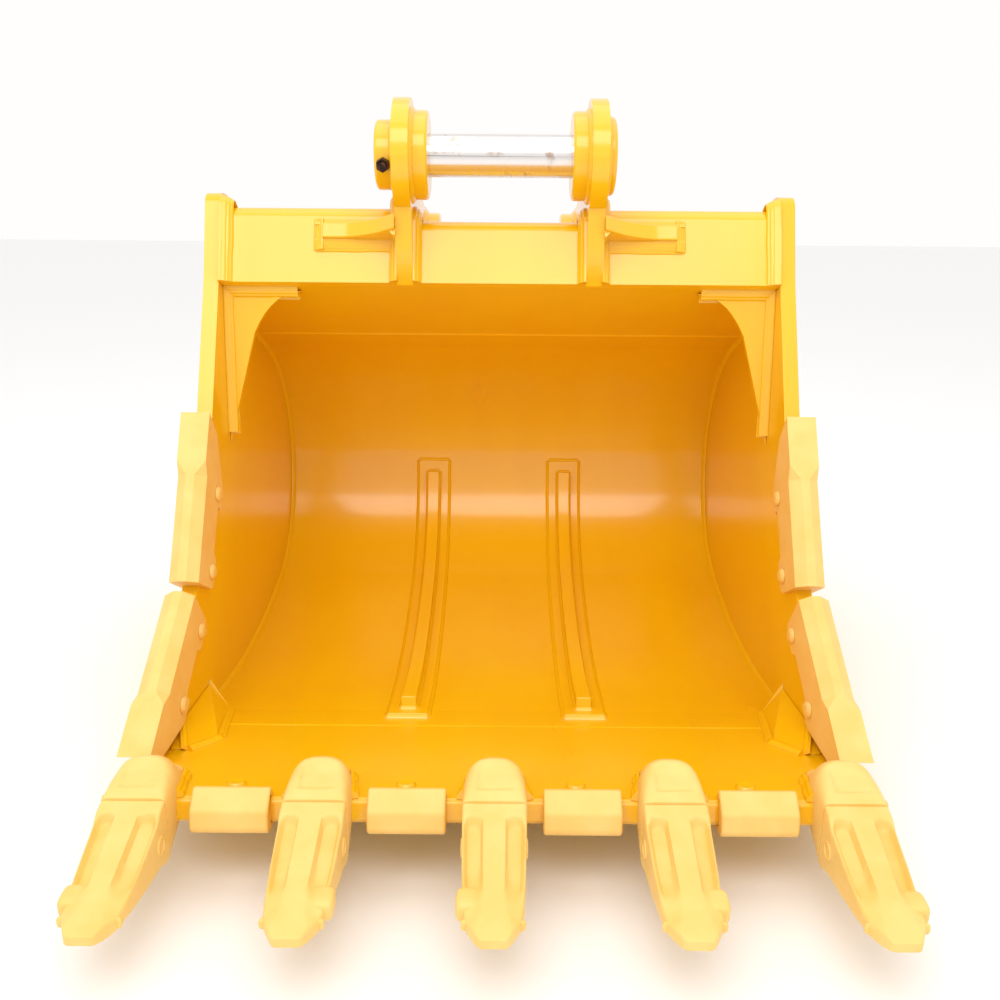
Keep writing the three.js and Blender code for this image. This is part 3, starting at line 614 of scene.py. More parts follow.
@dataclass(frozen=True)
class Bead:
    """A weld bead of one pass or of several laid side by side."""

    width: float
    height: float = 0.0
    passes: int = 1
    crown: float = 0.16
    pitch: float = 0.008

    def along(self, path: Array, first: Array, second: Array, out: Array | None = None) -> Surface:
        """Lay the bead in the corner between two plates.

        Across the bead a share t runs from the first plate to the second. Its point is the chord between the
        two toes, lifted outwards by a crown of sin(pi t), by a lobe of |sin(pi n t)| for n passes, and by a
        ripple that follows the length and lags at each pass's edges, as the solidified pool does.

        Args:
            path: the corner, as 3-D points.
            first: direction away from the corner on the first plate, one for all points or one each.
            second: the same on the second plate.
            out: direction of the crown, where the two plates are one flat face.

        Returns:
            The closed bead.
        """
        height = self.height or self.width
        spread = lambda vectors: np.broadcast_to(np.asarray(vectors, dtype=float), path.shape)
        both = unit(spread(first) + spread(second)) if out is None else spread(out)
        rows = resampled(np.column_stack([path, spread(first), spread(second), both]), self.pitch / 4.0)
        corner, toe_a, toe_b, crown = (rows[:, None, 3 * i:3 * i + 3] for i in range(4))
        length = np.arange(len(rows))[:, None] * (self.pitch / 4.0)
        t = np.linspace(0.0, 1.0, 4 * self.passes + 3)[None, :]
        lane = t * self.passes
        chance = np.random.default_rng(len(rows) + self.passes)
        drift = chance.uniform(0.0, 1.0, self.passes + 1)[np.minimum(lane.astype(int), self.passes)]
        lag = 0.3 * np.abs(np.sin(math.pi * lane))
        ripple = 0.5 + 0.5 * np.cos(2.0 * math.pi * (length / self.pitch - lag + drift))
        sway = 1.0 + 0.018 * np.sin(length / 0.031 + 6.0 * drift) + 0.012 * np.sin(length / 0.013)
        strand = min(self.width, height) / self.passes
        lift = self.crown * min(self.width, height) * np.sin(math.pi * t)
        lift = lift + 0.3 * strand * np.abs(np.sin(math.pi * lane)) * (self.passes > 1)
        lift = lift * sway + 0.07 * strand * ripple * np.sin(math.pi * t) ** 0.5
        chord = (1.0 - t)[..., None] * toe_a * self.width + t[..., None] * toe_b * height
        skin = corner + chord * sway[..., None] + lift[..., None] * crown
        root = corner - 0.25 * self.width * crown
        return Surface.stacked(np.concatenate([skin, root], axis=1))


def sleeve(centre: Array, axis: Array, rings: Sequence[Sequence[float]], count: int = 40) -> Surface:
    """A turned piece: at each [distance, radius] a circle round the axis.

    Args:
        centre: where distance is 0.
        axis: the direction of distance.
        rings: distances and radii, in order.
        count: points in a circle.

    Returns:
        The closed surface.
    """
    axis = unit(np.asarray(axis, dtype=float))
    side = unit(np.cross(axis, [0.31, 0.17, 0.93]))
    other = np.cross(axis, side)
    turn = np.arange(count) * (2.0 * math.pi / count)
    circle = np.cos(turn)[:, None] * side + np.sin(turn)[:, None] * other
    profile = np.asarray(rings, dtype=float)
    along = profile[:, 0, None, None] * axis
    return Surface.stacked(centre + along + profile[:, 1, None, None] * circle)


# ------------------------------------------------------------------------------------------ side view


@dataclass(frozen=True)
class SideView:
    """The bucket seen from its side, placed by the front pin's axis."""

    lip_from_pin: tuple = (-0.726, -1.314)
    rear_from_front_pin: tuple = (0.491, -0.176)
    floor_fall: float = 1.9
    floor_length: float = 0.552
    arcs: tuple = ((-1.9, 26.5, 1.6), (26.5, 90.0, 0.37), (90.0, 163.0, 0.40))
    roof_length: float = 0.515
    seam_from_back: float = 0.110
    cover_foot: float = 0.070
    face_heading: float = 79.1
    face: float = 0.218
    low_face: float = 0.182
    bend: float = 0.034
    plate: float = 0.020
    lip_depth: float = 0.440
    half_width: float = 0.752
    bar: float = 0.038
    taper: float = 0.0427
    flare_turn: float = 20.6
    bar_rear: float = 0.552
    bar_slope: float = 61.3

    @property
    def roof_heading(self) -> float:
        """Heading of the straight roof in degrees, where the last arc ends."""
        return self.arcs[-1][1]

    @property
    def pin(self) -> Array:
        """The front pin's axis."""
        return middle_of("stick_pin")

    @property
    def rear_pin(self) -> Array:
        """The rear pin's axis."""
        return self.pin + self.rear_from_front_pin

    @property
    def lip(self) -> Array:
        """The lip's top front corner."""
        return self.pin + self.lip_from_pin

    def shell(self) -> Array:
        """The shell's inner line.

        A straight floor, then arcs whose points are the start plus the radius times the difference of the
        sines and cosines of the headings, then the straight roof.

        Returns:
            Rows of [y, z, heading in degrees], from the lip's front to the torsion tube's foot.
        """
        rows = [np.array([[*self.lip, -self.floor_fall]])]
        end = self.lip + self.floor_length * heading(-self.floor_fall)
        rows.append(np.array([[*end, -self.floor_fall]]))
        for start_turn, end_turn, radius in self.arcs:
            turn = np.linspace(start_turn, end_turn, 13)[1:]
            rise = np.radians(turn)
            base = math.radians(start_turn)
            swing = np.stack([np.sin(rise) - math.sin(base), math.cos(base) - np.cos(rise)], axis=1)
            points = rows[-1][-1, :2] + radius * swing
            rows.append(np.column_stack([points, turn]))
        last = rows[-1][-1]
        rows.append(np.array([[*(last[:2] + self.roof_length * heading(last[2])), last[2]]]))
        return np.concatenate(rows)

    def offset(self, rows: Array, out: float) -> Array:
        """Points moved out of the shell, by out metres square to its line."""
        return rows[:, :2] - out * turned_left(heading(rows[:, 2]))

    @property
    def foot(self) -> Array:
        """The torsion tube's lower front corner."""
        return self.shell()[-1, :2]

    @property
    def cover_land(self) -> Array:
        """Where the torsion tube's cover lands on the shell."""
        back = self.shell()[-2]
        along = (self.seam_from_back - self.cover_foot) * heading(back[2])
        return back[:2] + along - self.plate * turned_left(heading(back[2]))

    def tube_top(self, height: float) -> Array:
        """The upper front corner of a torsion tube of that height."""
        return self.foot + height * heading(self.face_heading)

    def floor_at(self, y: Array | float) -> Array:
        """Height of the lip's and the floor's upper face at y."""
        return self.lip[1] - (y - self.lip[0]) * math.tan(math.radians(self.floor_fall))

    def depth(self, points: Array) -> Array:
        """Depth of side-view points behind the flare line: the mouth's plane, leaned forwards at the lip."""
        mouth = self.foot - self.lip
        flare = heading(math.degrees(math.atan2(mouth[1], mouth[0])) + self.flare_turn)
        away = points - self.lip
        return away[..., 0] * flare[1] - away[..., 1] * flare[0]

    def side_x(self, points: Array, half: float) -> Array:
        """Distance from the middle plane of a side face that is half away from it at the mouth."""
        return half - self.taper * self.depth(points)

    @property
    def bar_inside(self) -> float:
        """Half width between the side bars at the mouth."""
        return self.half_width - self.bar

    @property
    def plate_inside(self) -> float:
        """Half width between the side plates at the mouth."""
        return self.half_width - self.plate

    def tube_outline(self, height: float) -> Array:
        """The torsion tube's outside: up its face, round its bend and down its cover."""
        return rounded([self.foot, self.tube_top(height), self.cover_land], [0.0, self.bend, 0.0])


def flat(direction: Array) -> Array:
    """Side-view directions as 3-D directions."""
    return np.concatenate([np.zeros((*direction.shape[:-1], 1)), direction], axis=-1)


# ------------------------------------------------------------------------------------------ sub-assemblies


@dataclass
class SoftenedNode:
    """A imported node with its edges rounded, standing in for the sharp one."""

    node: str
    slot: Slot
    edge: float = 0.0025
    segments: int = 3
    crisp: float = 32.0
    merge: float = 2e-5
    same_plane: float = 0.6

    def build(self, finishes: Finishes, body: str = BODY) -> bpy.types.Object:
        """Merge a copy of the node, round its edges and dress it.

        Args:
            finishes: the materials.
            body: the body that the node rides on.

        Returns:
            The dressed piece.
        """
        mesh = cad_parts[self.node].data.copy()
        shape = bmesh.new()
        shape.from_mesh(mesh)
        bmesh.ops.remove_doubles(shape, verts=shape.verts[:], dist=self.merge)
        level = math.radians(self.same_plane)
        bmesh.ops.dissolve_limit(shape, angle_limit=level, verts=shape.verts[:], edges=shape.edges[:])
        shape.to_mesh(mesh)
        shape.free()
        mesh.polygons.foreach_set("use_smooth", [True] * len(mesh.polygons))
        piece = bpy.data.objects.new(f"{self.node}_finished", mesh)
        bpy.context.scene.collection.objects.link(piece)
        bevel = piece.modifiers.new("rounded_edges", "BEVEL")
        bevel.width = self.edge
        bevel.segments = self.segments
        bevel.limit_method = "ANGLE"
        bevel.angle_limit = math.radians(self.crisp)
        bevel.use_clamp_overlap = True
        bevel.harden_normals = False
        normals = piece.modifiers.new("even_shading", "WEIGHTED_NORMAL")
        normals.keep_sharp = True
        finishes.dress(piece, self.slot, body)
        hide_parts(self.node)
        return piece


@dataclass
class Plates:
    """The welded plates of the bucket, with softened edges."""

    edge: float = 0.003
    names: tuple = ("shell_wrapper", "roof_plate", "lip_plate", "torsion_tube", "heel_wear_grid")
    pairs: tuple = (
        "side_bar", "side_plate", "mouth_gusset", "ear_gusset", "lip_corner_plate", "ear", "wear_strip",
        "stick_boss", "link_boss",
    )

    def build(self, finishes: Finishes) -> None:
        """Soften every plate and boss."""
        for name in self.names:
            SoftenedNode(name, Slot.PAINT, self.edge).build(finishes)
        for pair in self.pairs:
            for hand in ("left", "right"):
                SoftenedNode(f"{pair}_{hand}", Slot.PAINT, self.edge).build(finishes)


@dataclass
class EarWelds:
    """Welds of the ears, their gussets and the pin bosses."""

    view: SideView
    inner: float = 0.213
    outer: float = 0.253
    tail_heading: float = 128.0
    gusset_end: float = 0.437
    gusset_low: float = 0.112
    gusset_high: float = 0.076
    gusset_past: float = 0.020
    end_reach: tuple = (0.026, 0.014)
    root_reach: tuple = (0.010, 0.085)
    hub: float = 0.1035
    retainer: float = 0.0815
    plain: float = 0.091
    foot_bead: Bead = Bead(0.020, 0.024, 3)
    under_gusset: Bead = Bead(0.030, 0.013, 4)
    over_gusset: Bead = Bead(0.016, 0.012, 2)
    end_bead: Bead = Bead(0.024, 0.014, 4)
    root_bead: Bead = Bead(0.012, 0.012, 1)
    hub_bead: Bead = Bead(0.009, 0.009)
    collar_bead: Bead = Bead(0.010, 0.010)

    def foot_path(self, height: float) -> Array:
        """The seat of an ear: the tube's outline, then the shell's outside to the ear's tail."""
        rows = self.view.shell()[:-1]
        behind = rows[(rows[:, 2] >= self.tail_heading)][::-1]
        shell = self.view.offset(behind, self.view.plate)
        return np.concatenate([self.view.tube_outline(height), shell[1:]])

    def feet(self) -> list[Surface]:
        """The beads on both faces of an ear's foot."""
        beads = []
        for x, away, height in ((self.inner, -1.0, self.view.low_face), (self.outer, 1.0, self.view.face)):
            path = self.foot_path(height)
            normal = flat(turned_left(tangents(path)))
            beads.append(self.foot_bead.along(in_space(path, x), away * X_AXIS, normal))
        return beads

    def gusset(self) -> list[Surface]:
        """The beads under, over and at the end of an ear gusset."""
        up = heading(self.view.face_heading)
        out = turned_left(up)
        low = self.view.tube_top(self.view.face - self.gusset_low)
        high = self.view.tube_top(self.view.face - self.gusset_high)
        span = np.array([self.outer, self.gusset_end + self.gusset_past])
        along = lambda point: in_space(np.array([point, point]), span)
        beads = [
            self.under_gusset.along(along(low), flat(-up), flat(out)),
            self.over_gusset.along(along(high), flat(up), flat(out)),
        ]
        below, above = self.end_reach
        end = in_space(np.array([low - below * up, high + above * up]), self.gusset_end)
        beads.append(self.end_bead.along(end, X_AXIS, flat(out)))
        near, far = self.root_reach
        corner = in_space(np.array([low + near * out, low + far * out]), self.outer)
        beads.append(self.root_bead.along(corner, X_AXIS, flat(-up)))
        return beads

    def rings(self, pin: Array, collar: float, x_collar: float) -> list[Surface]:
        """The beads round a hub and a collar.

        Args:
            pin: the pin's axis.
            collar: the collar's radius.
            x_collar: the ear's outer face.

        Returns:
            The two closed rings of weld.
        """
        turn = np.linspace(0.0, 2.0 * math.pi, 73)
        spoke = np.stack([np.cos(turn), np.sin(turn)], axis=1)
        hub = in_space(pin + self.hub * spoke, self.inner)
        outside = in_space(pin + collar * spoke, x_collar)
        return [
            self.hub_bead.along(hub, -X_AXIS, flat(spoke)),
            self.collar_bead.along(outside, X_AXIS, flat(spoke)),
        ]

    def build(self, finishes: Finishes) -> None:
        """Lay the welds of both ears."""
        right = self.feet() + self.gusset()
        rings = []
        for pin in (self.view.pin, self.view.rear_pin):
            right += self.rings(pin, self.plain, self.outer)
            rings += [bead.mirrored() for bead in self.rings(pin, self.retainer, self.outer)]
        left = [bead.mirrored() for bead in self.feet() + self.gusset()] + rings
        for hand, beads in (("left", left), ("right", right)):
            finishes.weld(beads, f"ear_welds_{hand}")


@dataclass
class TubeWelds:
    """Welds of the torsion tube, the roof and the gussets in the mouth's upper corners."""

    view: SideView
    gusset_back: float = 0.060
    gusset_plate: float = 0.016
    gusset_width: float = 0.192
    gusset_height: float = 0.362
    lip_half: float = 0.685
    under_lip_half: float = 0.70
    end_bead: Bead = Bead(0.034, 0.014, 4)
    gusset_bead: Bead = Bead(0.022, 0.013, 3)
    seam_bead: Bead = Bead(0.007, 0.007, crown=0.5)
    cover_bead: Bead = Bead(0.016, 0.016, 2)
    lip_bead: Bead = Bead(0.006, 0.006, crown=0.3)
    under_lip_bead: Bead = Bead(0.020, 0.020, 3)

    def ends(self) -> list[Surface]:
        """The wide vertical bead at the tube's end, over its bend and down its cover."""
        outline = self.view.tube_outline(self.view.face)
        x = self.view.side_x(outline, self.view.bar_inside)
        normal = flat(turned_left(tangents(outline)))
        return [self.end_bead.along(in_space(outline, x), -X_AXIS, normal)]

    def corner_gusset(self) -> list[Surface]:
        """The beads that hold a mouth gusset to the roof and to the side bar, in front and behind."""
        view = self.view
        roof = heading(view.roof_heading)
        fall = math.tan(math.radians(180.0 - view.roof_heading))
        beads = []
        for back, out in ((self.gusset_back, 1.0), (self.gusset_back - self.gusset_plate, -1.0)):
            y = view.foot[0] + back
            top = np.array([y, view.foot[1] - back * fall])
            outer = float(view.side_x(top, view.bar_inside))
            ledge = in_space(np.array([top, top]), np.array([outer, outer - self.gusset_width + 0.006]))
            on_roof = -out * roof
            beads.append(self.gusset_bead.along(ledge, -Z_AXIS, flat(on_roof)))
            low = top - [0.0, self.gusset_height]
            post = np.column_stack([
                [outer, float(view.side_x(low, view.bar_inside))], [y, y], [top[1], low[1]],
            ])
            beads.append(self.gusset_bead.along(post, -X_AXIS, out * Y_AXIS))
        return beads

    def across(self) -> list[Surface]:
        """The beads that cross the bucket: the roof's seam, the tube's foot and the cover's landing."""
        view = self.view
        back = view.shell()[-2]
        roof = heading(back[2])
        inward = turned_left(roof)
        seam = back[:2] + view.seam_from_back * roof
        beads = []
        half = float(view.side_x(seam, view.plate_inside))
        line = lambda point, reach: in_space(np.array([point, point]), np.array([-reach, reach]))
        beads.append(self.seam_bead.along(line(seam, half), flat(roof), flat(-roof), flat(inward)))
        land = view.cover_land
        cover = unit(view.tube_top(view.face) - land)
        beads.append(self.cover_bead.along(line(land, half), flat(cover), flat(-roof)))
        floor = heading(-view.floor_fall)
        rear = view.lip + view.lip_depth * floor
        up = flat(turned_left(floor))
        beads.append(self.lip_bead.along(line(rear, self.lip_half), flat(floor), flat(-floor), up))
        below = rear - (view.plate + WELDED_GAP) * turned_left(floor)
        under_lip = line(below, self.under_lip_half)
        beads.append(self.under_lip_bead.along(under_lip, flat(floor), flat(-turned_left(floor))))
        return beads

    def build(self, finishes: Finishes) -> None:
        """Lay the tube's welds."""
        right = self.ends() + self.corner_gusset()
        beads = right + [bead.mirrored() for bead in right] + self.across()
        finishes.weld(beads, "torsion_tube_welds")


@dataclass
class SideWelds:
    """Welds of the side plates, of the side bars behind and of the shell between them."""

    view: SideView
    step: float = 0.012
    rear_length: float = 0.838
    inside_bead: Bead = Bead(0.011, 0.011, crown=0.1)
    outside_bead: Bead = Bead(0.012, 0.0095, 2)
    step_bead: Bead = Bead(0.012, 0.016, crown=0.2)
    flush_bead: Bead = Bead(0.010, 0.010, crown=0.3)
    corner_bead: Bead = Bead(0.016, 0.010, 2, crown=0.3)
    corner_back: float = 0.185
    corner_length: float = 0.180
    corner_tops: tuple = (0.041, 0.062)
    corner_feet: tuple = ((0.066, 0.180), (0.098, -0.0315), (0.051, -0.105))

    def shell_corner(self) -> list[Surface]:
        """The fillets between the shell and a side plate, inside and outside."""
        view = self.view
        rows = view.shell()[1:]
        dense = resampled(np.column_stack([rows[:, :2], np.zeros(len(rows)), rows[:, 2]]), self.step)
        rows = dense[:, [0, 1, 3]]
        inward = turned_left(heading(rows[:, 2]))
        inside = view.offset(rows, 0.0)
        x = view.side_x(inside, view.plate_inside)
        beads = [self.inside_bead.along(in_space(inside, x), -X_AXIS, flat(inward))]
        behind = rows[:-1][rows[:-1, 0] > rows[0, 0] + 0.05]
        behind = behind[behind[:, 2] < view.roof_heading]
        outside = view.offset(behind, view.plate)
        out = -turned_left(heading(behind[:, 2]))
        x = view.side_x(outside, view.plate_inside)
        beads.append(self.outside_bead.along(in_space(outside, x), -X_AXIS, flat(out)))
        return beads

    def bar_rear(self) -> list[Surface]:
        """The bead on the step behind the side bar, and the flush one on its outside."""
        view = self.view
        start_y = view.lip[0] + view.bar_rear
        start = np.array([start_y, float(view.floor_at(start_y))])
        direction = heading(view.bar_slope)
        points = start + np.linspace(0.0, self.rear_length, 24)[:, None] * direction
        rear = -turned_left(direction)
        step = view.side_x(points, view.plate_inside)
        flush = view.side_x(points, view.half_width)
        return [
            self.step_bead.along(in_space(points, step), flat(rear), -X_AXIS),
            self.flush_bead.along(in_space(points, flush), flat(rear), flat(-rear), X_AXIS),
        ]

    def corner_plate(self) -> list[Surface]:
        """The double bead round a lip corner plate."""
        floor_end = self.view.lip + self.view.floor_length * heading(-self.view.floor_fall)
        inside = self.view.bar_inside - WELDED_GAP
        near = floor_end[0] - self.corner_back
        ground = lambda x, y: [x, y, float(self.view.floor_at(y)) + 0.001]
        side = lambda y, z: [inside - self.view.taper * float(self.view.depth(np.array([y, z]))), y, z]
        low = float(self.view.floor_at(near))
        rim = np.array([
            side(near + self.corner_length, low + self.corner_tops[1]),
            *(ground(inside - x, near + y) for x, y in self.corner_feet),
            side(near, low + self.corner_tops[0]),
        ])
        middle = rim.mean(axis=0)
        away = unit((rim - middle) * [1.0, 1.0, 0.2])
        beads = []
        for start, end in zip(range(4), range(1, 5)):
            path = rim[[start, end]]
            edge = unit(path[1] - path[0])
            out = unit(away[[start, end]].sum(axis=0))
            out = unit(out - np.dot(out, edge) * edge)
            beads.append(self.corner_bead.along(path, out, Z_AXIS))
        return beads

    def build(self, finishes: Finishes) -> None:
        """Lay the welds of both sides."""
        right = self.shell_corner() + self.bar_rear() + self.corner_plate()
        left = [bead.mirrored() for bead in right]
        for hand, beads in (("left", left), ("right", right)):
            finishes.weld(beads, f"side_welds_{hand}")


@dataclass
class WearStripWelds:
    """Thin welds round the wear strips inside and the wear grid under the heel."""

    view: SideView
    offset: float = 0.211
    half: float = 0.048
    bar_half: float = 0.018
    doubler: float = 0.010
    ahead: float = 0.053
    end: float = 92.0
    inset: float = 0.038
    grid: tuple = (-0.590, -0.295, 0.0, 0.295, 0.590)
    grid_half: float = 0.050
    grid_end: float = 80.0
    grid_ahead: float = 0.040
    grid_closing: float = 0.985
    crown: float = 0.12

    def stretch(self, ahead: float, to_heading: float) -> Array:
        """The shell's line from ahead of the straight floor's end up to a heading.

        Args:
            ahead: how far ahead it starts.
            to_heading: the last heading in degrees.

        Returns:
            Rows of [y, z, heading].
        """
        rows = self.view.shell()
        y = rows[1, 0] - ahead
        first = [[y, float(self.view.floor_at(y)), rows[0, 2]]]
        turn = np.concatenate([rows[1:-1, 2][rows[1:-1, 2] < to_heading], [to_heading]])
        body = rows[1:-1]
        rest = np.column_stack([np.interp(turn, body[:, 2], body[:, i]) for i in range(3)])
        return np.concatenate([first, rest])

    def outline(self, rows: Array, out: float, half: float, width: float, facing: float) -> list[Surface]:
        """The beads on the four edges of a strip on the shell.

        Args:
            rows: the strip's line.
            out: where it stands, in metres out of the shell's inner line.
            half: half its width.
            width: the beads' width.
            facing: 1 where it stands inside the shell, -1 where it is under it.

        Returns:
            The beads, about x = 0.
        """
        path = self.view.offset(rows, out)
        normal = flat(facing * turned_left(heading(rows[:, 2])))
        bead = Bead(width, width, crown=self.crown)
        beads = [bead.along(in_space(path, side * half), side * X_AXIS, normal) for side in (-1.0, 1.0)]
        for end, away in ((0, -1.0), (-1, 1.0)):
            corners = in_space(path[[end, end]], np.array([-half, half]))
            out_of = flat(away * heading(rows[end, 2]))
            beads.append(bead.along(corners, out_of, normal[end]))
        return beads

    def build(self, finishes: Finishes) -> None:
        """Lay the beads of the two inner strips and of the grid."""
        pad = self.outline(self.stretch(self.ahead, self.end), 0.0, self.half, 0.008, 1.0)
        bar_end = self.end - math.degrees(self.inset / self.view.arcs[-1][2])
        bar_rows = self.stretch(self.ahead - self.inset, bar_end)
        bar = self.outline(bar_rows, -self.doubler, self.bar_half, 0.007, 1.0)
        for hand, x in (("left", -self.offset), ("right", self.offset)):
            beads = [bead.moved(x) for bead in pad + bar]
            finishes.weld(beads, f"wear_strip_welds_{hand}")
        strap_rows = self.stretch(self.grid_ahead, self.grid_end)
        strap = self.outline(strap_rows, self.view.plate, self.grid_half, 0.010, -1.0)
        beads = [bead.moved(x * self.grid_closing) for x in self.grid for bead in strap]
        finishes.weld(beads, "heel_grid_welds")


@dataclass
class Tooth:
    """A cast tooth: a flat ridge down its middle, a scalloped pocket on each side and a lifting lug."""

    length: float = 0.2865
    ridge: float = 0.0195
    rail: float = 0.003
    pocket: float = 0.0155
    pocket_start: float = 0.026
    pocket_end: float = 0.215
    at: tuple = (0.0, 0.05, 0.13, 0.20, 0.238, 0.2865)
    half: tuple = (0.059, 0.0588, 0.0565, 0.0525, 0.0485, 0.024)
    top: tuple = (0.0625, 0.0535, 0.036, 0.0225, 0.0155, 0.009)
    bottom: tuple = (-0.0625, -0.057, -0.0465, -0.036, -0.029, -0.0105)
    edge: float = 0.005
    pin_at: float = 0.044
    pin_rise: float = -0.004

    def skin(self, x: Array, t: Array, level: Array, half: Array, facing: float) -> Array:
        """Height of the upper or lower skin.

        The level is lowered by the edge's round, by the slope from the ridge outwards, and by the pocket,
        whose mask is the product of smooth steps from the ridge, from the rail and from the scalloped start.

        Args:
            x: distance from the middle.
            t: distance from the joint.
            level: height of the ridge.
            half: half width.
            facing: 1 for the upper skin and -1 for the lower one.

        Returns:
            The heights.
        """
        side = np.abs(x)
        ridge = self.ridge + 0.010 * smooth((t - 0.215) / 0.05)
        start = smooth((t - self.pocket_start + 0.004) / 0.03)
        slope = np.interp(t, self.at, (0.08, 0.26, 0.32, 0.38, 0.46, 0.36))
        drop = slope * np.clip(side - ridge, 0.0, None) * start
        middle = (ridge + half - self.rail) / 2.0
        reach = np.maximum((half - self.rail - ridge) / 2.0, 0.004)
        bow = np.clip((side - middle) / reach, -1.0, 1.0)
        scallop = self.pocket_start + 0.022 * (1.0 - np.sqrt(1.0 - bow**2))
        mask = smooth((side - ridge) / 0.005) * smooth((half - self.rail - side) / 0.007)
        mask = mask * smooth((t - scallop) / 0.012) * smooth((self.pocket_end - t) / 0.07)
        turn = np.clip((side - half + self.edge) / self.edge, 0.0, 1.0)
        round_off = self.edge * (1.0 - np.sqrt(1.0 - turn**2))
        return level - facing * (drop + self.pocket * mask + round_off)

    def body(self) -> Surface:
        """The tooth's body, as rings along it.

        Returns:
            The surface in the tooth's own frame: [x, distance from the joint, height].
        """
        t = np.concatenate([[0.0], np.linspace(0.0015, self.length - 0.003, 108), [self.length]])[:, None]
        bevel = np.where(t > self.length - 0.001, 0.9, 1.0) * np.where(t < 0.001, 0.975, 1.0)
        shape = lambda values: np.interp(t, self.at, values) * bevel
        half = shape(self.half)
        swing = np.linspace(-0.5, 0.5, 37)[None, :] * math.pi
        x = half * np.sin(swing)
        upper = self.skin(x, t, shape(self.top), half, 1.0)
        lower = self.skin(x, t, shape(self.bottom), half, -1.0)
        share = np.linspace(0.0, 1.0, 9)[None, 1:-1]
        right = upper[:, -1:] + share * (lower[:, -1:] - upper[:, -1:])
        left = lower[:, :1] + share * (upper[:, :1] - lower[:, :1])
        across = np.concatenate([x, half + 0.0 * share, x[:, ::-1], -half + 0.0 * share], axis=1)
        height = np.concatenate([upper, right, lower[:, ::-1], left], axis=1)
        rings = np.stack([across, np.broadcast_to(t, across.shape), height], axis=-1)
        return Surface.stacked(rings)

    def parts(self, lug_side: float) -> Surface:
        """The body with its lug, its nubs and the bosses round its lock pin.

        Args:
            lug_side: -1 or 1, the side with the lifting lug.

        Returns:
            The surface in the tooth's own frame.
        """
        axes = np.eye(3)
        at = lambda x, t, z: np.array([x, t, z])
        pieces = [self.body()]
        lug = at(lug_side * 0.044, 0.192, -0.003)
        pieces.append(lump(lug, 0.021 * axes[0], 0.027 * axes[1], 0.020 * axes[2], 4.0, 28))
        for side in (-1.0, 1.0):
            nub = at(side * 0.0485, 0.238, -0.005)
            pieces.append(lump(nub, 0.006 * axes[0], 0.005 * axes[1], 0.010 * axes[2], 3.0, 16))
            hub = at(side * 0.0565, self.pin_at, self.pin_rise)
            rings = [[0.0, 0.0185], [0.0035, 0.018], [0.0048, 0.0168], [0.0048, 0.0146], [0.0012, 0.0140]]
            pieces.append(sleeve(hub, [side, 0.0, 0.0], rings, 32))
        return Surface.joined(pieces)


@dataclass
class Adapter:
    """A cast adapter: a round-backed hump astride the lip, with straps above and below it."""

    back: tuple = (0.0, 0.012, 0.035, 0.071, 0.098, 0.122, 0.145, 0.162, 0.173, 0.177)
    top: tuple = (0.0485, 0.060, 0.078, 0.0985, 0.090, 0.068, 0.051, 0.045, 0.040, 0.034)
    bottom: tuple = (-0.0765, -0.076, -0.074, -0.067, -0.063, -0.061, -0.058, -0.050, -0.042, -0.034)
    half: tuple = (0.0605, 0.061, 0.061, 0.0605, 0.058, 0.0525, 0.049, 0.048, 0.045, 0.034)
    power: tuple = (9.0, 6.5, 4.6, 3.0, 2.7, 2.9, 3.4, 4.0, 4.0, 3.0)
    tilt: float = 12.0

    def surface(self) -> Surface:
        """The casting as superellipse rings from the joint backwards.

        Each ring's point is the half width times the cosine and the height times the sine of an angle, each
        raised to 2/power with its sign kept. A recess is pressed into the top: a product of smooth steps.

        Returns:
            The surface: [x, distance behind the joint's middle, height above the lip's middle].
        """
        s = np.concatenate([np.linspace(0.0, self.back[-1] - 0.003, 84), [self.back[-1]]])
        shape = lambda values: np.convolve(np.pad(np.interp(s, self.back, values), 3, "edge"), [1 / 7] * 7, "valid")
        turn = (np.arange(88) + 0.5)[None, :] * (2.0 * math.pi / 88)
        sharpen = lambda value: np.sign(value) * np.abs(value) ** (2.0 / shape(self.power)[:, None])
        x = shape(self.half)[:, None] * sharpen(np.cos(turn))
        rise = sharpen(np.sin(turn))
        z = np.where(rise > 0.0, shape(self.top)[:, None] * rise, -shape(self.bottom)[:, None] * rise)
        behind = s[:, None]
        recess = smooth((x + 0.034) / 0.006) * smooth((0.052 - x) / 0.05)
        recess = recess * smooth((behind - 0.016) / 0.006) * smooth((0.072 - behind) / 0.03)
        z = z - 0.0065 * recess * (rise > 0.3)
        lean = math.radians(self.tilt) * (1.0 - smooth(behind / 0.05))
        y = behind - np.tan(lean) * (z + 0.015)
        return Surface.stacked(np.stack([x, y, z], axis=-1))


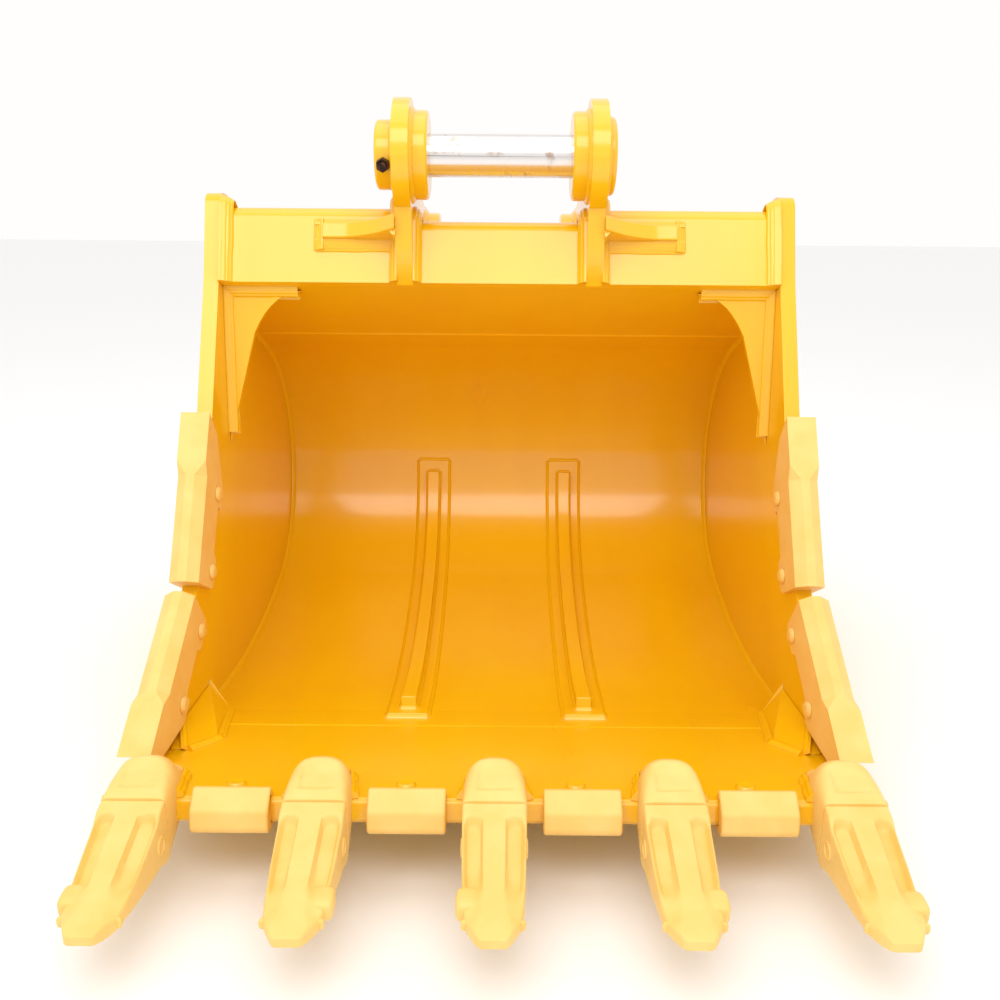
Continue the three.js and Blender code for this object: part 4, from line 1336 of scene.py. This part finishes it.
@dataclass
class CuttingEdge:
    """Teeth, adapters, lip shrouds and the welds that hold them to the lip."""

    view: SideView
    pitch: float = 0.334
    joint: tuple = (-0.047, -0.040)
    fall: float = 12.0
    lug_sides: tuple = (-1.0, 1.0, -1.0, 1.0, 1.0)
    boss_radius: float = 0.0175
    boss_at: tuple = (-0.008, 0.069)
    shroud_edge: float = 0.005
    shroud_half: float = 0.074
    shroud_rear: float = 0.016
    strap_end: float = 0.099
    strap_tail: tuple = (0.047, 0.030)
    strap_half: tuple = ((0.0, 0.03, 0.075), (0.060, 0.058, 0.0485))
    adapter_bead: Bead = Bead(0.014, 0.018, 2, crown=0.1)
    shroud_bead: Bead = Bead(0.010, 0.010, crown=0.1)

    def placed(self, surface: Surface, x: float) -> Surface:
        """Put a tooth's own frame at its joint, pointing down by the fall."""
        ahead = heading(180.0 + self.fall)
        up = -turned_left(ahead)
        middle = self.view.lip + self.joint
        y_z = middle + surface.points[:, 1:2] * ahead + surface.points[:, 2:3] * up
        return Surface(in_space(y_z, surface.points[:, 0] + x), [face[::-1] for face in surface.faces])

    def adapter_welds(self, x: float) -> list[Surface]:
        """The beads on both sides of an adapter's hump and strap, and round the strap's end."""
        turn = np.linspace(0.0, math.pi, 15)
        side = np.linspace(0.004, 0.085, 12)
        half = np.interp(side, *self.strap_half)
        tail_x = self.strap_tail[0] * np.cos(turn)
        tail_y = self.strap_end + self.strap_tail[1] * np.sin(turn)
        plan_x = np.concatenate([half, tail_x, -half[::-1]])
        plan_y = np.concatenate([side, tail_y, side[::-1]])
        y = self.view.lip[0] + plan_y
        path = np.column_stack([x + plan_x, y, self.view.floor_at(y)])
        way = tangents(path)
        away = unit(np.cross(way, Z_AXIS))
        away = away * np.sign(np.sum(away * (path - [x, float(y.mean()), 0.0]) * [1.0, 1.0, 0.0], axis=1))[:, None]
        return [self.adapter_bead.along(path, away, Z_AXIS)]

    def build(self, finishes: Finishes) -> None:
        """Shape the teeth and adapters, soften the shrouds and lay the welds."""
        tooth, adapter = Tooth(), Adapter()
        origin = self.view.lip + [self.joint[0], -0.025]
        welds = []
        for index, lug_side in enumerate(self.lug_sides):
            x = (index - 2) * self.pitch
            name = index + 1
            shape = self.placed(tooth.parts(lug_side), x)
            piece = finishes.dress(shape.piece(f"tooth_{name}_casting", 50.0), Slot.CAST)
            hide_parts(f"tooth_{name}")
            points = adapter.surface()
            seat = Surface(points.points + [x, *origin], points.faces)
            piece = finishes.dress(seat.piece(f"adapter_{name}_casting", 50.0), Slot.CAST)
            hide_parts(f"adapter_{name}")
            welds += self.adapter_welds(x)
        for index in range(4):
            SoftenedNode(f"lip_shroud_{index + 1}", Slot.CAST, self.shroud_edge, 4, 50.0).build(finishes)
            x = (index - 1.5) * self.pitch + self.boss_at[0]
            y = self.view.lip[0] + self.boss_at[1]
            base = np.array([x, y, float(self.view.floor_at(y)) - 0.004])
            rings = [[0.0, self.boss_radius + 0.003], [0.008, self.boss_radius + 0.001],
                     [0.0115, self.boss_radius - 0.002], [0.0115, 0.006], [0.0105, 0.001]]
            welds.append(sleeve(base, Z_AXIS, rings, 36))
            welds += self.shroud_welds((index - 1.5) * self.pitch)
        finishes.weld(welds, "lip_welds")

    def shroud_welds(self, x: float) -> list[Surface]:
        """The bead along a shroud's rear edge."""
        y = self.view.lip[0] + self.shroud_rear
        z = float(self.view.floor_at(y))
        edge = np.array([[x - self.shroud_half, y, z], [x + self.shroud_half, y, z]])
        return [self.shroud_bead.along(edge, Y_AXIS, Z_AXIS)]


@dataclass
class SideCutters:
    """Bolt-on cutters on the side bars, with their bolts."""

    edge: float = 0.004
    crisp: float = 22.0
    bolt_edge: float = 0.0012
    bolt_crisp: float = 30.0

    def build(self, finishes: Finishes) -> None:
        """Soften the castings and their bolts."""
        for level in ("upper", "lower"):
            for hand in ("left", "right"):
                SoftenedNode(f"side_cutter_{level}_{hand}", Slot.CAST, self.edge, 3, self.crisp).build(finishes)
                for number in (1, 2):
                    node = f"cutter_bolt_{level}_{number}_{hand}"
                    SoftenedNode(node, Slot.CAST, self.bolt_edge, 2, self.bolt_crisp).build(finishes)


@dataclass
class PinsAndKeepers:
    """The two pins, their keeper bolts and nuts, and the teeth's lock pins."""

    edge: float = 0.0012
    pin_edge: float = 0.0015
    crisp: float = 30.0

    def build(self, finishes: Finishes) -> None:
        """Soften the two pins, which ride on the bucket, and the fasteners and lock pins on their own bodies."""
        for use in ("stick", "link"):
            SoftenedNode(f"{use}_pin", Slot.STEEL, self.pin_edge, 3, self.crisp).build(finishes)
            for fastener in ("bolt", "nut"):
                node = f"{use}_pin_{fastener}"
                SoftenedNode(node, Slot.BOLT, self.edge, 2, self.crisp).build(finishes, node)
        for number in range(1, 6):
            node = f"tooth_pin_{number}"
            SoftenedNode(node, Slot.BOLT, self.pin_edge, 2, self.crisp).build(finishes, node)


# ------------------------------------------------------------------------------------------ studio


@dataclass
class Studio:
    """A pale floor, a white surround, two soft lights and the camera."""

    lens: float = 37.8
    sensor: float = 36.0
    from_pin: tuple = (0.0055, -2.627, -0.4696)
    pitch: float = 8.0
    roll: float = 0.45
    surround: float = 1.0
    floor_half: float = 14.0
    aim_below_pin: float = 0.7
    lights: tuple = (
        ("key", (-0.4, -3.6, 2.0), (4.4, 2.0), 80.0, (1.0, 0.97, 0.95)),
        ("top", (0.0, -0.4, 2.9), (3.0, 3.0), 25.0, (1.0, 0.98, 0.97)),
    )

    def placed(self, from_pin: Sequence[float]) -> Array:
        """The standing position of a point that is given from the front pin, in the drawn frame."""
        stand = Standing()
        return stand.turned(np.array([[from_pin[0], *(stand.pin + from_pin[1:])]]))[0]

    def floor(self) -> None:
        """A wide pale floor under the bucket."""
        graph = Graph("studio_floor")
        sheen = graph.noise(0.8)
        material = graph.close({"Base Color": rgb(0.92, 0.92, 0.92), "Roughness": sheen * 0.1 + 0.75})
        mesh = bpy.data.meshes.new("studio_floor")
        wide = self.floor_half
        corners = [(-wide, -wide, 0), (wide, -wide, 0), (wide, wide, 0), (-wide, wide, 0)]
        mesh.from_pydata(corners, [], [(0, 1, 2, 3)])
        mesh.materials.append(material)
        floor = bpy.data.objects.new("studio_floor", mesh)
        bpy.context.scene.collection.objects.link(floor)

    def light(self) -> None:
        """The white surround and the two soft lights, placed from the front pin and aimed at the bucket."""
        world = bpy.data.worlds.new("white_surround")
        world.use_nodes = True
        inputs = world.node_tree.nodes["Background"].inputs
        inputs["Color"].default_value = rgb(1.0, 0.99, 0.98)
        inputs["Strength"].default_value = self.surround
        bpy.context.scene.world = world
        stand = Standing()
        aim = np.array([0.0, *(stand.pin - [0.0, self.aim_below_pin])])
        for name, from_pin, size, power, colour in self.lights:
            place = self.placed(from_pin)
            lamp = bpy.data.lights.new(name, "AREA")
            lamp.shape = "RECTANGLE"
            lamp.size, lamp.size_y = size
            lamp.energy = power
            lamp.color = colour
            holder = bpy.data.objects.new(name, lamp)
            holder.location = place
            away = place - aim
            tilt = math.atan2(math.hypot(away[0], away[1]), away[2])
            holder.rotation_euler = Euler((tilt, 0.0, math.atan2(away[1], away[0]) + math.pi / 2.0))
            bpy.context.scene.collection.objects.link(holder)

    def camera(self) -> None:
        """A camera in front of the mouth, a little above the middle and pitched down."""
        eye = bpy.data.cameras.new("camera")
        eye.lens = self.lens
        eye.sensor_width = self.sensor
        eye.clip_end = 60.0
        holder = bpy.data.objects.new("camera", eye)
        holder.location = self.placed(self.from_pin)
        turn = Euler((math.radians(90.0 - self.pitch) + Standing().angle, 0.0, 0.0)).to_matrix()
        roll = Euler((0.0, 0.0, math.radians(self.roll))).to_matrix()
        holder.rotation_euler = (turn @ roll).to_euler()
        bpy.context.scene.collection.objects.link(holder)
        bpy.context.scene.camera = holder
        bpy.context.scene.view_settings.view_transform = "Standard"

    def build(self) -> None:
        """Set up the whole studio."""
        self.floor()
        self.light()
        self.camera()


def main() -> None:
    """Build the bucket's pieces in order."""
    logging.basicConfig(level=logging.INFO, format="%(name)s: %(message)s")
    finishes = Finishes(Enamel(), CastPaint(), GroundSteel(), DarkSteel())
    view = SideView()
    Plates().build(finishes)
    EarWelds(view).build(finishes)
    TubeWelds(view).build(finishes)
    SideWelds(view).build(finishes)
    WearStripWelds(view).build(finishes)
    CuttingEdge(view).build(finishes)
    SideCutters().build(finishes)
    PinsAndKeepers().build(finishes)
    Studio().build()


if __name__ == "__main__":
    main()
